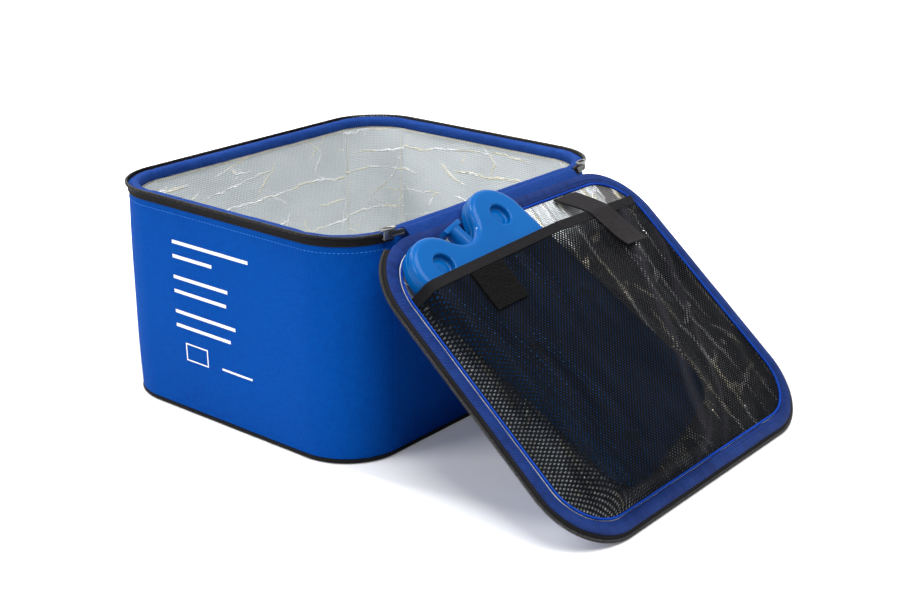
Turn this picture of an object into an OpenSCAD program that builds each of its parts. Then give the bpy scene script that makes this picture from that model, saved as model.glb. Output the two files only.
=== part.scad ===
// Soft-sided insulated transport box with a hinged lid, a zip on three sides and a cool pack
// in a mesh pocket inside the lid. Millimetres, +Z up. The origin is the centre of the base
// on the floor, +X points to the hinge side and -Y to the plain front panel.

/* [Body] */
// Width of the box across the hinge, outside the fabric
body_w = 252; // [220:1:300]
// Depth of the box along the hinge, outside the fabric
body_d = 300; // [285:1:380]
// Height of the box from the floor to its rim
body_h = 168; // [150:1:240]
// Radius of the upright corners
corner_r = 45; // [38:1:52]
// Thickness of the backed outer fabric
shell_t = 1; // [0.6:0.1:1.6]
// Thickness of the foam in the walls
wall_foam_t = 5; // [3:0.5:8]
// Thickness of the foil lining
lining_t = 0.6; // [0.4:0.1:1]
// Thickness of the fabric facing on the rim
facing_t = 1; // [0.6:0.1:1.6]
// How far the facing turns down inside the rim
facing_drop = 8.5; // [8:1:25]

/* [Base] */
// Thickness of the base fabric
base_fabric_t = 1; // [0.6:0.1:2]
// Thickness of the stiff board in the base
base_board_t = 2; // [1:0.5:4]
// Thickness of the foam in the base
base_foam_t = 6; // [3:0.5:10]
// Diameter of the piping round the base
piping_d = 3.8; // [2.5:0.1:5]

/* [Seams] */
// Width of the folded seam strip on the hinge side
seam_w = 23; // [15:1:30]
// Thickness of the seam strip
seam_t = 0.6; // [0.4:0.1:1]
// Distance from the corner to the middle of the seam strip
seam_from_corner = 9.5; // [7:0.5:30]
// Height of the seam strip's top below the rim
seam_below_rim = 14; // [12:1:30]
// Thickness of the foil strips over the upright corners
corner_strip_t = 0.5; // [0.3:0.1:0.7]

/* [Zip] */
// Diameter of the zip chain on each tape
chain_d = 2.2; // [1.6:0.1:2.6]
// Thickness of the zip tape
tape_t = 0.7; // [0.4:0.1:0.9]
// Height of the tape on the box wall
tape_h = 4.5; // [3:0.5:8]
// Angle along the corner where the parked slider begins
slider_from = 4; // [3:1:8]
// Angle along the corner that a slider covers
slider_span = 11; // [8:1:14]
// Thickness of the slider's outer plate
slider_t = 1.2; // [0.8:0.1:2]
// Height of the slider
slider_h = 8.2; // [7:0.1:10]
// Length of the pull tab
pull_l = 13; // [10:0.5:13]
// Height of the pull tab
pull_h = 5; // [4:0.2:5.4]
// Thickness of the pull tab
pull_t = 1.4; // [1:0.1:2]

/* [Lid] */
// Angle of the open lid below level
lid_tilt = 40.3; // [30:0.1:40.4]
// Thickness of the lid panel without its binding
lid_t = 7.5; // [6:0.5:12]
// Distance from the hinge axis to the lid panel
lid_hinge_gap = 9; // [8:0.5:12]
// Radius of the lid panel's corners
lid_r = 48; // [42:1:56]
// How far the lid panel's edge lies inside the box's outline
lid_inset = 2.5; // [2:0.5:4]
// Thickness of the lid's stiff board
lid_board_t = 1.2; // [0.8:0.1:2]
// Width of the binding round the lid's inner face
binding_w = 9; // [7:0.5:11]
// Height of that binding above the lid panel
binding_h = 1.5; // [1:0.1:2]
// Diameter of the thin piping inside the binding
lid_piping_d = 1.8; // [1.2:0.1:2.4]
// Length at each end of the hinge edge that the hinge cloth leaves free
hinge_free = 51; // [51:1:75]
// Thickness of the hinge cloth
hinge_cloth_t = 1.2; // [0.8:0.1:1.6]
// Diameter of the roll in the hinge cloth
hinge_roll_d = 3; // [2:0.2:3.2]

/* [Handle] */
// Width of the carry handle's webbing
handle_w = 25; // [20:1:40]
// Thickness of the webbing
handle_t = 2.2; // [1.5:0.1:3]
// Room for the hand under the handle
handle_room = 31; // [25:1:40]
// Length of the handle from sewn end to sewn end
handle_l = 184; // [150:1:220]
// Length of each sewn end
handle_foot = 24; // [18:1:35]

/* [Pocket] */
// Thickness of the mesh
mesh_t = 0.5; // [0.4:0.1:0.8]
// Height of the mesh over the lid's lining where the cool pack is
pocket_rise = 27; // [26:0.5:32]
// Distance from the hinge axis to the pocket's mouth at the front edge
mouth_front = 52; // [48:1:60]
// Distance from the hinge axis to the pocket's mouth at the back edge
mouth_back = 40; // [36:1:50]
// Width of the binding on the pocket's mouth
mouth_w = 7.5; // [5:0.5:12]
// Thickness of that binding
mouth_t = 1.2; // [0.8:0.1:1.6]
// Length of the patch of hook tape below the mouth
patch_l = 31; // [20:1:45]
// Width of the patch
patch_w = 42; // [25:1:50]
// Distance from the pocket's front edge to the patch
patch_from_edge = 36; // [20:1:60]
// Thickness of the patch
patch_t = 1.4; // [1:0.1:2]
// Distance from the pocket's back edge to the middle of the strap's sewn root
strap_from_edge = 70.5; // [55:0.5:90]
// How far the strap lies over the pocket
strap_reach = 37; // [25:1:45]
// How far the strap's end lies nearer the back edge than its root
strap_lean = 27; // [0:1:30]
// Width of the closure strap
strap_w = 28; // [20:1:34]
// Thickness of the closure strap
strap_t = 1.5; // [1:0.1:2]
// Thickness of the pad under the strap's end
strap_pad_t = 1; // [0.6:0.1:1.5]

/* [Cool pack] */
// Width of the cool pack
pack_w = 134; // [110:1:134]
// Length of the lid that the cool pack leaves free
pack_free = 25.5; // [24:0.5:50]
// Thickness of the cool pack
pack_t = 17; // [16:0.5:24]
// Wall thickness of the cool pack's shell
pack_wall = 1.6; // [1:0.1:2.5]
// Radius of the two round lobes at the top
lobe_r = 26; // [22:0.5:30]
// Depth of the dip between the lobes
saddle_depth = 24; // [18:0.5:25]
// Radius of the bottom corners
pack_foot_r = 24; // [15:1:30]
// Diameter of the round hollows in the face
dimple_d = 17; // [12:0.5:20]
// Depth of those hollows
dimple_depth = 5; // [3:0.5:6]
// Angle at which the cool pack leans in the open pocket
pack_lean = 14; // [8:1:14]

/* [Hidden] */
$fn = 64;

blue = [0.03, 0.20, 0.55];
rim_blue = [0.12, 0.25, 0.52];
black = [0.06, 0.06, 0.065];
foil = [0.80, 0.81, 0.82];
foam_white = [0.90, 0.90, 0.88];
board_grey = [0.45, 0.45, 0.46];
pack_blue = [0.0, 0.38, 0.70];
gel_blue = [0.55, 0.75, 0.88];
metal = [0.55, 0.56, 0.57];

// Gap left between layers that are sewn together
layer_gap = 0.1;
// Room left between bodies that move against each other
clear = 0.35;
// Longer than any piece, for cuts that pass right through
far = 2 * (body_w + body_d);
// How far the base piping stands out of the wall and off the floor
piping_proud = 0.4;
piping_lift = 0.3;
half_w = body_w / 2;
half_d = body_d / 2;

// Layers of the wall, as distances in from the outline
foam_in = shell_t + layer_gap;
lining_in = foam_in + wall_foam_t + layer_gap;
facing_in = lining_in + lining_t + layer_gap;
wall_in = facing_in + facing_t;
foam_top = body_h - facing_t - layer_gap;
facing_bottom = body_h - facing_drop;

// Layers of the base, as heights
piping_in = piping_d / 2 - piping_proud;
piping_z = piping_lift + piping_d / 2;
wall_z = piping_lift + piping_d + layer_gap;
base_edge = piping_in + piping_d / 2 + layer_gap;
board_z = base_fabric_t + layer_gap;
base_foam_z = max(board_z + base_board_t, wall_z - base_foam_t) + layer_gap;
base_lining_z = base_foam_z + base_foam_t + layer_gap;
floor_z = base_lining_z + lining_t;

// Zip on the box: the chain laps over its tape's edge, level with the rim
chain_r = chain_d / 2;
chain_lap = 0.65;
chain_out = layer_gap + tape_t + chain_r - chain_lap;
chain_z = body_h - chain_r + layer_gap;
tape_top = chain_z - chain_r - layer_gap;

// Hinge frame: x runs down the open lid, y along the hinge, z out of the inner face
hinge_out = 3;
hinge_up = 2;
hinge_x = half_w + hinge_out;
hinge_z = body_h + hinge_up;
hinge_l = body_d - 2 * hinge_free;
hinge_arm_from = 1.3;
hinge_arm_to = 4.5;
hinge_neck = 1;
lid_end = hinge_x + half_w - lid_inset;
lid_len = lid_end - lid_hinge_gap;
lid_wide = body_d - 2 * lid_inset;
lid_mid = lid_hinge_gap + lid_len / 2;
cover_t = shell_t;
board_n = -lid_t + cover_t + layer_gap;
lid_foam_n = board_n + lid_board_t + layer_gap;
lining_top = lining_t;
lining_edge = binding_w + layer_gap + lid_piping_d + layer_gap;

// Zip on the lid: the closed chain lies over the box's chain and a little further out
lid_chain_proud = 1.25;
lid_chain_n = hinge_up - clear - 0.05 - chain_r;
lid_chain_end = hinge_x + half_w + chain_out;
lid_chain_half = half_d + chain_out + lid_chain_proud;
lid_chain_hinge = hinge_out - chain_out;
lid_chain_r = lid_r + lid_inset + 0.5;
lid_chain_mid = (lid_chain_end + lid_chain_hinge) / 2;
lid_chain_len = lid_chain_end - lid_chain_hinge;
lid_tape_t = tape_t - layer_gap;
lid_tape_n = lid_chain_n - lid_tape_t / 2;
// How far past the start of the corner the lid's chain begins
lid_zip_late = 22;
lid_zip_from = lid_chain_half - lid_chain_r + lid_zip_late;

// Slider: it turns about the corner's own centre
arc_x = half_w - corner_r;
arc_y = half_d - corner_r;
slider_in = corner_r + layer_gap + tape_t + clear;
slider_plate_in = corner_r + chain_out + lid_chain_proud + chain_r + clear + 0.05;
slider_out = slider_plate_in + slider_t;
slider_z = chain_z - chain_r - clear - slider_t;
slider_mid = slider_from + slider_span / 2;
pivot_d = 1.6;
pivot_out = slider_out + clear + pivot_d / 2;

// Pocket: a tent over the cool pack, from the edge of the lining
pocket_n = lining_top + layer_gap;
tent_top = pocket_n + pocket_rise;
shoulder_drop = 7;
tent_shoulder = tent_top - shoulder_drop;
mouth_skin = (mouth_t - mesh_t) / 2;
tent_in = lining_edge + mouth_skin;
tent_half = lid_wide / 2 - tent_in;
tent_start = lid_hinge_gap + tent_in;
tent_end = lid_end - tent_in;
tent_r = lid_r - tent_in;
tent_top_r = 25;
tent_side_in = 5;
tent_end_in = 10;
mouth_lean = atan((mouth_front - mouth_back) / (2 * tent_half));

// Cool pack in the lid's frame
pack_n = max(binding_h, lid_piping_d) + clear;
pack_l = lid_len - pack_free;
pack_overhang = 1;
pack_u = lid_hinge_gap - pack_overhang + pack_l / 2;
lobe_x = pack_w / 2 - lobe_r;
lobe_y = pack_l / 2 - lobe_r;
pack_v = lobe_x * cos(pack_lean) + lobe_y * sin(pack_lean) + lobe_r + 2 * clear
    + mesh_t - tent_half;
// The pocket's flat top ends over the cool pack's rounded back edge
tent_back = pack_v + (pack_w / 2 - pack_foot_r) * cos(pack_lean)
    + (pack_l / 2 - pack_foot_r) * sin(pack_lean) + pack_foot_r - 0.3 * pack_t;
saddle_r = (lobe_x * lobe_x - (lobe_r - saddle_depth) * (lobe_r - saddle_depth)
    - lobe_r * lobe_r + 2 * (lobe_r - saddle_depth) * (lobe_r - saddle_depth))
    / (2 * saddle_depth);
saddle_y = pack_l / 2 - saddle_depth + saddle_r;
dimple_x = pack_w / 2 - lobe_r;
dimple_y = pack_l / 2 - pack_foot_r;
neck_d = 12;
plug_w = 20;
plug_t = 8;
plug_h = 4;
plug_y = saddle_depth * 0.6;

// Closure strap: it leaves the binding, climbs over the pocket's mouth and lies on the mesh
strap_root_u = lid_hinge_gap + binding_w + lid_piping_d + 2;
strap_root_v = tent_half - strap_from_edge;
strap_n = lining_top + clear;
strap_rise_u = mouth_back + mouth_w * 0.4;
strap_end_u = strap_rise_u + strap_reach;
strap_end_v = strap_root_v + strap_lean;
strap_over = mouth_t + 2 * clear + strap_pad_t + mouth_skin;
strap_rise_v = strap_root_v + (strap_end_v - strap_root_v)
    * (strap_rise_u - strap_root_u) / (strap_end_u - strap_root_u);
// Corners of the webbing's sheets, so that they meet along an edge
web_edge = 0.2;

// Places a shape in the open lid's frame
module in_lid() {
    translate([hinge_x, 0, hinge_z]) rotate([0, lid_tilt, 0]) children();
}

// Rounded rectangle, centred
module rounded_rect(w, d, r) {
    square([w, d - 2 * r], center = true);
    square([w - 2 * r, d], center = true);
    for (x = [-1, 1], y = [-1, 1]) translate([x * (w / 2 - r), y * (d / 2 - r)]) circle(r);
}

// Plate with the box's outline, drawn in by inset
module body_plate(inset, z0, z1) {
    translate([0, 0, z0]) linear_extrude(height = z1 - z0)
        rounded_rect(body_w - 2 * inset, body_d - 2 * inset, corner_r - inset);
}

// Wall of thickness t that follows the box's outline
module body_ring(inset, t, z0, z1) {
    difference() {
        body_plate(inset, z0, z1);
        body_plate(inset + t, z0 - 1, z1 + 1);
    }
}

// Plate with the lid panel's outline, drawn in by inset, between two heights
module lid_plate(inset, n0, n1) {
    translate([lid_mid, 0, n0]) linear_extrude(height = n1 - n0)
        rounded_rect(lid_len - 2 * inset, lid_wide - 2 * inset, lid_r - inset);
}

// Bead of diameter d along a rounded rectangle
module bead_loop(w, d, r, bead_d) {
    for (i = [0 : 3]) {
        x = (i == 0 || i == 3) ? 1 : -1;
        y = i < 2 ? 1 : -1;
        translate([x * (w / 2 - r), y * (d / 2 - r), 0]) rotate([0, 0, 90 * i])
            rotate_extrude(angle = 90) translate([r, 0]) circle(d = bead_d, $fn = 24);
    }
    for (y = [-1, 1]) translate([0, y * d / 2, 0]) rotate([0, 90, 0])
        cylinder(d = bead_d, h = w - 2 * r, center = true, $fn = 24);
    for (x = [-1, 1]) translate([x * w / 2, 0, 0]) rotate([90, 0, 0])
        cylinder(d = bead_d, h = d - 2 * r, center = true, $fn = 24);
}

// Box: walls
module outer_wall() {
    color(blue) body_ring(0, shell_t, wall_z, body_h);
}

module wall_foam() {
    color(foam_white) body_ring(foam_in, wall_foam_t, wall_z, foam_top);
}

module wall_lining() {
    color(foil) body_ring(lining_in, lining_t, base_lining_z, foam_top);
}

module lining_strip(i) {
    x = (i == 0 || i == 3) ? 1 : -1;
    y = i < 2 ? 1 : -1;
    z0 = floor_z + layer_gap;
    color(foil) translate([x * arc_x, y * arc_y, z0]) rotate([0, 0, 90 * i])
        rotate_extrude(angle = 90) translate([corner_r - facing_in - corner_strip_t, 0])
            square([corner_strip_t, facing_bottom - layer_gap - z0]);
}

module rim_facing() {
    color(rim_blue) difference() {
        body_ring(foam_in, wall_in - foam_in, facing_bottom, body_h);
        body_ring(foam_in - 1, facing_in - foam_in + 1, facing_bottom - 1, body_h - facing_t);
    }
}

module side_seam_strip() {
    seam_y = -arc_y + seam_from_corner;
    color(blue) translate([half_w + layer_gap, seam_y - seam_w / 2, wall_z])
        cube([seam_t, seam_w, body_h - seam_below_rim - wall_z]);
}

// Box: base
module base_fabric() {
    color(black) body_plate(base_edge, 0, base_fabric_t);
}

module base_board() {
    color(board_grey) body_plate(base_edge, board_z, board_z + base_board_t);
}

module base_foam() {
    color(foam_white) body_plate(lining_in, base_foam_z, base_foam_z + base_foam_t);
}

module base_lining() {
    color(foil) body_plate(facing_in, base_lining_z, floor_z);
}

module base_piping() {
    color(black) translate([0, 0, piping_z])
        bead_loop(body_w - 2 * piping_in, body_d - 2 * piping_in, corner_r - piping_in, piping_d);
}

// Box: zip and hinge
module body_zip_tape() {
    color(black) difference() {
        body_ring(-layer_gap - tape_t, tape_t, tape_top - tape_h, tape_top);
        translate([arc_x, -arc_y, 0]) cube([body_w, 2 * arc_y, 2 * body_h]);
    }
}

module body_zip_chain() {
    color(black) translate([0, 0, chain_z]) difference() {
        bead_loop(body_w + 2 * chain_out, body_d + 2 * chain_out, corner_r + chain_out, chain_d);
        translate([arc_x, -arc_y, -chain_d]) cube([body_w, 2 * arc_y, 2 * chain_d]);
    }
}

module hinge_cloth_body() {
    wall_x = half_w + layer_gap;
    arm = hinge_cloth_t;
    color(rim_blue) rotate([90, 0, 0]) linear_extrude(height = hinge_l, center = true) {
        translate([hinge_x, hinge_z]) circle(d = hinge_roll_d);
        polygon([
            [wall_x, body_h - hinge_arm_to], [wall_x + arm, body_h - hinge_arm_to],
            [wall_x + arm, body_h - hinge_arm_from],
            [hinge_x, hinge_z - hinge_roll_d / 2 + 0.05],
            [hinge_x - hinge_neck, hinge_z - hinge_neck], [wall_x, body_h - 2 * layer_gap]
        ]);
    }
}

module slider(side) {
    color(metal) mirror([0, side < 0 ? 1 : 0, 0]) translate([arc_x, arc_y, 0])
        rotate([0, 0, slider_from]) rotate_extrude(angle = slider_span) {
            translate([slider_plate_in, slider_z]) square([slider_t, slider_h]);
            translate([slider_in, slider_z]) square([slider_out - slider_in, slider_t]);
        }
}

// Pull tab with its pivot eye, lying back towards the hinge
module pull(side) {
    pull_z = slider_z + slider_h / 2;
    color(metal) mirror([0, side < 0 ? 1 : 0, 0]) translate([arc_x, arc_y, pull_z])
        rotate([0, 0, slider_mid]) translate([pivot_out, 0, 0]) {
            cylinder(d = pivot_d, h = pull_h * 0.7, center = true, $fn = 24);
            rotate([0, 90, 0]) rotate([0, 0, -90])
                linear_extrude(height = pull_t, center = true) difference() {
                    union() {
                        translate([pull_l - pull_h / 2, 0]) circle(d = pull_h);
                        translate([pull_h / 2, 0]) circle(d = pull_h * 0.7);
                        translate([0, -pull_h * 0.35]) square([pull_l / 2, pull_h * 0.7]);
                        translate([pull_l / 2 - 1, -pull_h / 2])
                            square([pull_l / 2 + 1 - pull_h / 2, pull_h]);
                    }
                    translate([pull_l - pull_h / 2, 0]) circle(d = pull_h * 0.4);
                }
        }
}

// Lid: panel
module lid_cover() {
    color(blue) in_lid() difference() {
        lid_plate(0, -lid_t, -layer_gap);
        lid_plate(cover_t, -lid_t + cover_t, 1);
    }
}

module lid_board() {
    color(board_grey) in_lid() lid_plate(cover_t + layer_gap, board_n, board_n + lid_board_t);
}

module lid_foam() {
    color(foam_white) in_lid() lid_plate(cover_t + layer_gap, lid_foam_n, -layer_gap);
}

module lid_lining() {
    color(foil) in_lid() lid_plate(lining_edge, 0, lining_top);
}

module lid_binding() {
    color(rim_blue) in_lid() difference() {
        lid_plate(0, 0, binding_h);
        lid_plate(binding_w, -1, binding_h + 1);
    }
}

module lid_inner_piping() {
    inset = binding_w + layer_gap + lid_piping_d / 2;
    color(blue) in_lid() translate([lid_mid, 0, lid_piping_d / 2])
        bead_loop(lid_len - 2 * inset, lid_wide - 2 * inset, lid_r - inset, lid_piping_d);
}

// Hinge side of the lid, where the zip has ended
module zip_free_side(half) {
    translate([-lid_mid, -half, -lid_t]) cube([2 * lid_mid, 2 * half, 2 * lid_t]);
}

// Lid: zip and hinge
module lid_zip_tape() {
    edge = chain_r + 0.05;
    color(black) in_lid() difference() {
        translate([lid_chain_mid, 0, lid_tape_n]) linear_extrude(height = lid_tape_t)
            rounded_rect(lid_chain_len - 2 * edge, 2 * (lid_chain_half - edge), lid_chain_r - edge);
        lid_plate(-0.05, -lid_t, lid_t);
        zip_free_side(lid_zip_from - 1);
    }
}

module lid_zip_chain() {
    color(black) in_lid() difference() {
        translate([lid_chain_mid, 0, lid_chain_n])
            bead_loop(lid_chain_len, 2 * lid_chain_half, lid_chain_r, chain_d);
        zip_free_side(lid_zip_from);
    }
}

module hinge_cloth_lid() {
    start = hinge_roll_d / 2 + clear + 0.05;
    color(rim_blue) in_lid() translate([start, -hinge_l / 2, -hinge_cloth_t / 2])
        cube([lid_hinge_gap - layer_gap - start, hinge_l, hinge_cloth_t]);
}

// Carry handle on the outside of the lid
module handle_side(grow) {
    foot_v = handle_l / 2 - handle_foot + grow * 0.6;
    top_v = foot_v - handle_room * 0.8;
    polygon([
        [-foot_v, 0], [foot_v, 0], [top_v, handle_room + grow], [-top_v, handle_room + grow]
    ]);
}

module carry_handle() {
    color(black) in_lid() translate([lid_mid - handle_w / 2, 0, -lid_t - layer_gap])
        rotate([-90, 0, -90]) linear_extrude(height = handle_w) {
            difference() {
                handle_side(handle_t);
                handle_side(0);
            }
            for (s = [-1, 1]) translate([s * (handle_l / 2 - handle_foot / 2), handle_t / 2])
                square([handle_foot, handle_t], center = true);
        }
}

module handle_patch(side) {
    margin = 3;
    patch_from = handle_l / 2 - handle_foot + 2 * margin;
    over = handle_t + 2 * layer_gap;
    color(black) in_lid() translate([lid_mid - handle_w / 2 - margin, 0, -lid_t - over - shell_t])
        mirror([0, side < 0 ? 1 : 0, 0]) translate([0, patch_from, 0])
            cube([handle_w + 2 * margin, handle_l / 2 - patch_from, shell_t]);
}

// Pocket inside the lid
module tent_layer(half_front, half_back, start, start_r, end, end_r, n) {
    translate([0, 0, n]) linear_extrude(height = 0.05)
        for (v = [-half_front, half_back]) {
            in = v < 0 ? 1 : -1;
            translate([start + start_r, v + in * start_r]) circle(start_r);
            translate([end - end_r, v + in * end_r]) circle(end_r);
        }
}

module tent(grow) {
    hull() {
        tent_layer(tent_half + grow, tent_half + grow, tent_start - grow, tent_r + grow,
            tent_end + grow, tent_r + grow, pocket_n - 0.05);
        tent_layer(tent_half - layer_gap + grow, tent_back + 2 * tent_side_in + grow,
            tent_start - grow, tent_r + grow, tent_end - tent_end_in / 10 + grow, tent_r + grow,
            tent_shoulder + grow);
        tent_layer(tent_half - tent_side_in + grow, tent_back + grow, tent_start + mouth_w, 1,
            tent_end - tent_end_in + grow, tent_top_r, tent_top + grow);
    }
}

// Everything beyond a line that runs from_mouth below the pocket's mouth
module beyond_mouth(from_mouth, long = far) {
    translate([mouth_front, -tent_half, 0]) rotate([0, 0, mouth_lean])
        translate([from_mouth, -far / 2, -far / 2]) cube([long, far, far]);
}

// Everything below the lid's lining
module below_lining() {
    translate([0, -far / 2, pocket_n - far]) cube([far, far, far]);
}

module pocket_mesh() {
    color(black) in_lid() intersection() {
        difference() {
            tent(0);
            tent(-mesh_t);
            below_lining();
        }
        beyond_mouth(mouth_w + layer_gap);
    }
}

module pocket_mouth_binding() {
    color(black) in_lid() intersection() {
        difference() {
            tent(mouth_skin);
            tent(-mesh_t - mouth_skin);
            below_lining();
        }
        beyond_mouth(0, mouth_w);
    }
}

module pocket_hook_patch() {
    color(black) in_lid() translate([mouth_front, -tent_half, tent_top + 0.05 + layer_gap])
        rotate([0, 0, mouth_lean]) translate([mouth_w + 1, patch_from_edge, 0])
            cube([patch_l, patch_w, patch_t]);
}

// Height of the mesh over the lid at a place on its slope behind the cool pack
function slope_n(v) = pocket_n + pocket_rise * (tent_half - v) / (tent_half - tent_back);

// Two edges of flat webbing joined by a sheet
module web_sheet(u0, v0, w0, n0a, n0b, u1, v1, w1, n1a, n1b, t) {
    hull() {
        translate([u0, v0 - w0 / 2, n0a]) cube([web_edge, web_edge, t]);
        translate([u0, v0 + w0 / 2 - web_edge, n0b]) cube([web_edge, web_edge, t]);
        translate([u1, v1 - w1 / 2, n1a]) cube([web_edge, web_edge, t]);
        translate([u1, v1 + w1 / 2 - web_edge, n1b]) cube([web_edge, web_edge, t]);
    }
}

module strap_webbing() {
    rise_a = slope_n(strap_rise_v - strap_w / 2) + strap_over;
    rise_b = slope_n(strap_rise_v + strap_w / 2) + strap_over;
    end_a = slope_n(strap_end_v - strap_w / 2) + strap_over;
    end_b = slope_n(strap_end_v + strap_w / 2) + strap_over;
    color(black) in_lid() {
        web_sheet(strap_root_u, strap_root_v, strap_w, strap_n, strap_n,
            strap_rise_u, strap_rise_v, strap_w, rise_a, rise_b, strap_t);
        web_sheet(strap_rise_u, strap_rise_v, strap_w, rise_a, rise_b,
            strap_end_u, strap_end_v, strap_w, end_a, end_b, strap_t);
    }
}

module strap_pad() {
    run = strap_end_u - strap_rise_u;
    mid_u = strap_rise_u + run * 0.35;
    mid_v = strap_rise_v + (strap_end_v - strap_rise_v) * 0.35;
    last_u = strap_rise_u + run * 0.93;
    last_v = strap_rise_v + (strap_end_v - strap_rise_v) * 0.93;
    w = strap_w - 5;
    drop = strap_over - strap_pad_t - 3 * layer_gap;
    color(black) in_lid() web_sheet(
        mid_u, mid_v, w, slope_n(mid_v - w / 2) + drop, slope_n(mid_v + w / 2) + drop,
        last_u, last_v, w, slope_n(last_v - w / 2) + drop, slope_n(last_v + w / 2) + drop,
        strap_pad_t);
}

// Outline of the cool pack, drawn in by inset: two lobes with a dip between them
module pack_outline(inset) {
    difference() {
        union() {
            for (s = [-1, 1]) {
                translate([s * lobe_x, lobe_y]) circle(lobe_r - inset);
                translate([s * (pack_w / 2 - pack_foot_r), -pack_l / 2 + pack_foot_r])
                    circle(pack_foot_r - inset);
            }
            polygon([[-lobe_x, lobe_y], [lobe_x, lobe_y], [0, saddle_y]]);
            translate([-pack_w / 2 + inset, -pack_l / 2 + pack_foot_r])
                square([pack_w - 2 * inset, lobe_y + pack_l / 2 - pack_foot_r]);
            translate([-pack_w / 2 + pack_foot_r, -pack_l / 2 + inset])
                square([pack_w - 2 * pack_foot_r, pack_foot_r]);
        }
        translate([0, saddle_y]) circle(saddle_r + inset);
    }
}

// Cool pack body in three steps, so that its edges are drawn in like a blown bottle's
module pack_body(inset) {
    edge = pack_t / 4;
    for (step = [[0, edge], [edge * 0.35, edge * 0.42], [edge, 0]])
        translate([0, 0, step[1] + inset]) linear_extrude(height = pack_t - 2 * (step[1] + inset))
            pack_outline(step[0] + inset);
}

module pack_dimples(grow) {
    for (x = [-1, 1], y = [-1, 0, 1])
        translate([x * dimple_x, y * dimple_y, pack_t - dimple_depth - grow])
            cylinder(d = dimple_d + 2 * grow, h = dimple_depth + grow + 1);
}

module in_pocket() {
    in_lid() translate([pack_u, pack_v, pack_n]) rotate([0, 0, 90 + pack_lean]) children();
}

module pack_shell() {
    color(pack_blue) in_pocket() difference() {
        pack_body(0);
        pack_dimples(0);
        difference() {
            pack_body(pack_wall);
            pack_dimples(pack_wall);
        }
    }
}

module pack_gel() {
    color(gel_blue) in_pocket() difference() {
        pack_body(pack_wall + layer_gap);
        pack_dimples(pack_wall + layer_gap);
    }
}

// Filler neck in the dip with its flat plug
module pack_plug() {
    foot = pack_l / 2 - saddle_depth;
    color(pack_blue) in_pocket() {
        intersection() {
            translate([0, foot, pack_t / 2]) rotate([-90, 0, 0]) cylinder(d = neck_d, h = plug_y);
            translate([0, saddle_y, 0]) cylinder(r = saddle_r - layer_gap, h = pack_t);
        }
        translate([-plug_w / 2, foot + plug_y - plug_h / 8, (pack_t - plug_t) / 2])
            cube([plug_w, plug_h, plug_t]);
    }
}

outer_wall();
wall_foam();
wall_lining();
for (i = [0 : 3]) lining_strip(i);
rim_facing();
side_seam_strip();
base_fabric();
base_board();
base_foam();
base_lining();
base_piping();
body_zip_tape();
body_zip_chain();
hinge_cloth_body();
lid_cover();
lid_board();
lid_foam();
lid_lining();
lid_binding();
lid_inner_piping();
lid_zip_tape();
lid_zip_chain();
hinge_cloth_lid();
carry_handle();
handle_patch(-1);  // handle_patch_front
handle_patch(1);  // handle_patch_back
pocket_mesh();
pocket_mouth_binding();
pocket_hook_patch();
strap_webbing();
strap_pad();
pack_shell();
pack_gel();
pack_plug();
slider(-1);  // slider_front
pull(-1);  // pull_front
slider(1);  // slider_back
pull(1);  // pull_back
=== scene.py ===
"""Soft-sided insulated transport box, its lid folded back, with a cool pack in the lid's mesh pocket.

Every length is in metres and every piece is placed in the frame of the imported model: the origin is
the centre of the base on the floor, +X points to the hinge side and -Y to the plain front panel.
"""
import sys
import logging
import math
from collections.abc import Callable, Iterator, Sequence
from contextlib import contextmanager
from dataclasses import dataclass
from enum import Enum

import bmesh
import bpy
import numpy as np
from mathutils import Matrix, Vector, noise


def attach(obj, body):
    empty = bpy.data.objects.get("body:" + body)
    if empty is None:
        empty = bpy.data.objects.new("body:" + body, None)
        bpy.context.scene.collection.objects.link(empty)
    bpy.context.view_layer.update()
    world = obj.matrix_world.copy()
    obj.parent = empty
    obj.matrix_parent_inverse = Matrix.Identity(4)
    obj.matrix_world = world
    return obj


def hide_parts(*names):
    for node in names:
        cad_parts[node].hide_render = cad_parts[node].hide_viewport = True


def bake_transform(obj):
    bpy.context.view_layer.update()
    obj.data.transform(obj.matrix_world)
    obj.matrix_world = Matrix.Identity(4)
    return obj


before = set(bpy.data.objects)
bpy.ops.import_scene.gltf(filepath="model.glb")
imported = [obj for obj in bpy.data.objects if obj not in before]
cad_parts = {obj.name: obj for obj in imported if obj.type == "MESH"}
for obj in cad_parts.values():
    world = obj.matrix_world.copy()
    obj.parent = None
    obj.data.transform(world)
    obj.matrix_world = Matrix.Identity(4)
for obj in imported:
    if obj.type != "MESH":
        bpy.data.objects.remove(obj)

LOG = logging.getLogger("transport_box")
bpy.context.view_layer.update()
MM = 0.001
Section = list[tuple[float, float]]
Colour = tuple[float, float, float]
Piece = bpy.types.Object
Socket = bpy.types.NodeSocket
Material = bpy.types.Material
Rule = Callable[[Vector], tuple[float, float]]


def in_mm(section: Section) -> Section:
    """Turn a section drawn in millimetres into metres."""
    return [(a * MM, b * MM) for a, b in section]


def srgb(red: int, green: int, blue: int) -> Colour:
    """Turn a screen colour into the linear one that a shader takes.

    Args:
        red: Red from 0 to 255.
        green: Green from 0 to 255.
        blue: Blue from 0 to 255.

    Returns:
        The linear colour.
    """
    parts = [c / 255 for c in (red, green, blue)]
    return tuple(c / 12.92 if c <= 0.04045 else ((c + 0.055) / 1.055) ** 2.4 for c in parts)


class Body(Enum):
    """The bodies of the model that a piece can ride on."""

    BOX = "box"
    LID = "lid"
    STRAP = "closure_strap"
    PACK = "cool_pack"
    SLIDER_FRONT = "slider_front"
    PULL_FRONT = "pull_front"
    SLIDER_BACK = "slider_back"
    PULL_BACK = "pull_back"


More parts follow.
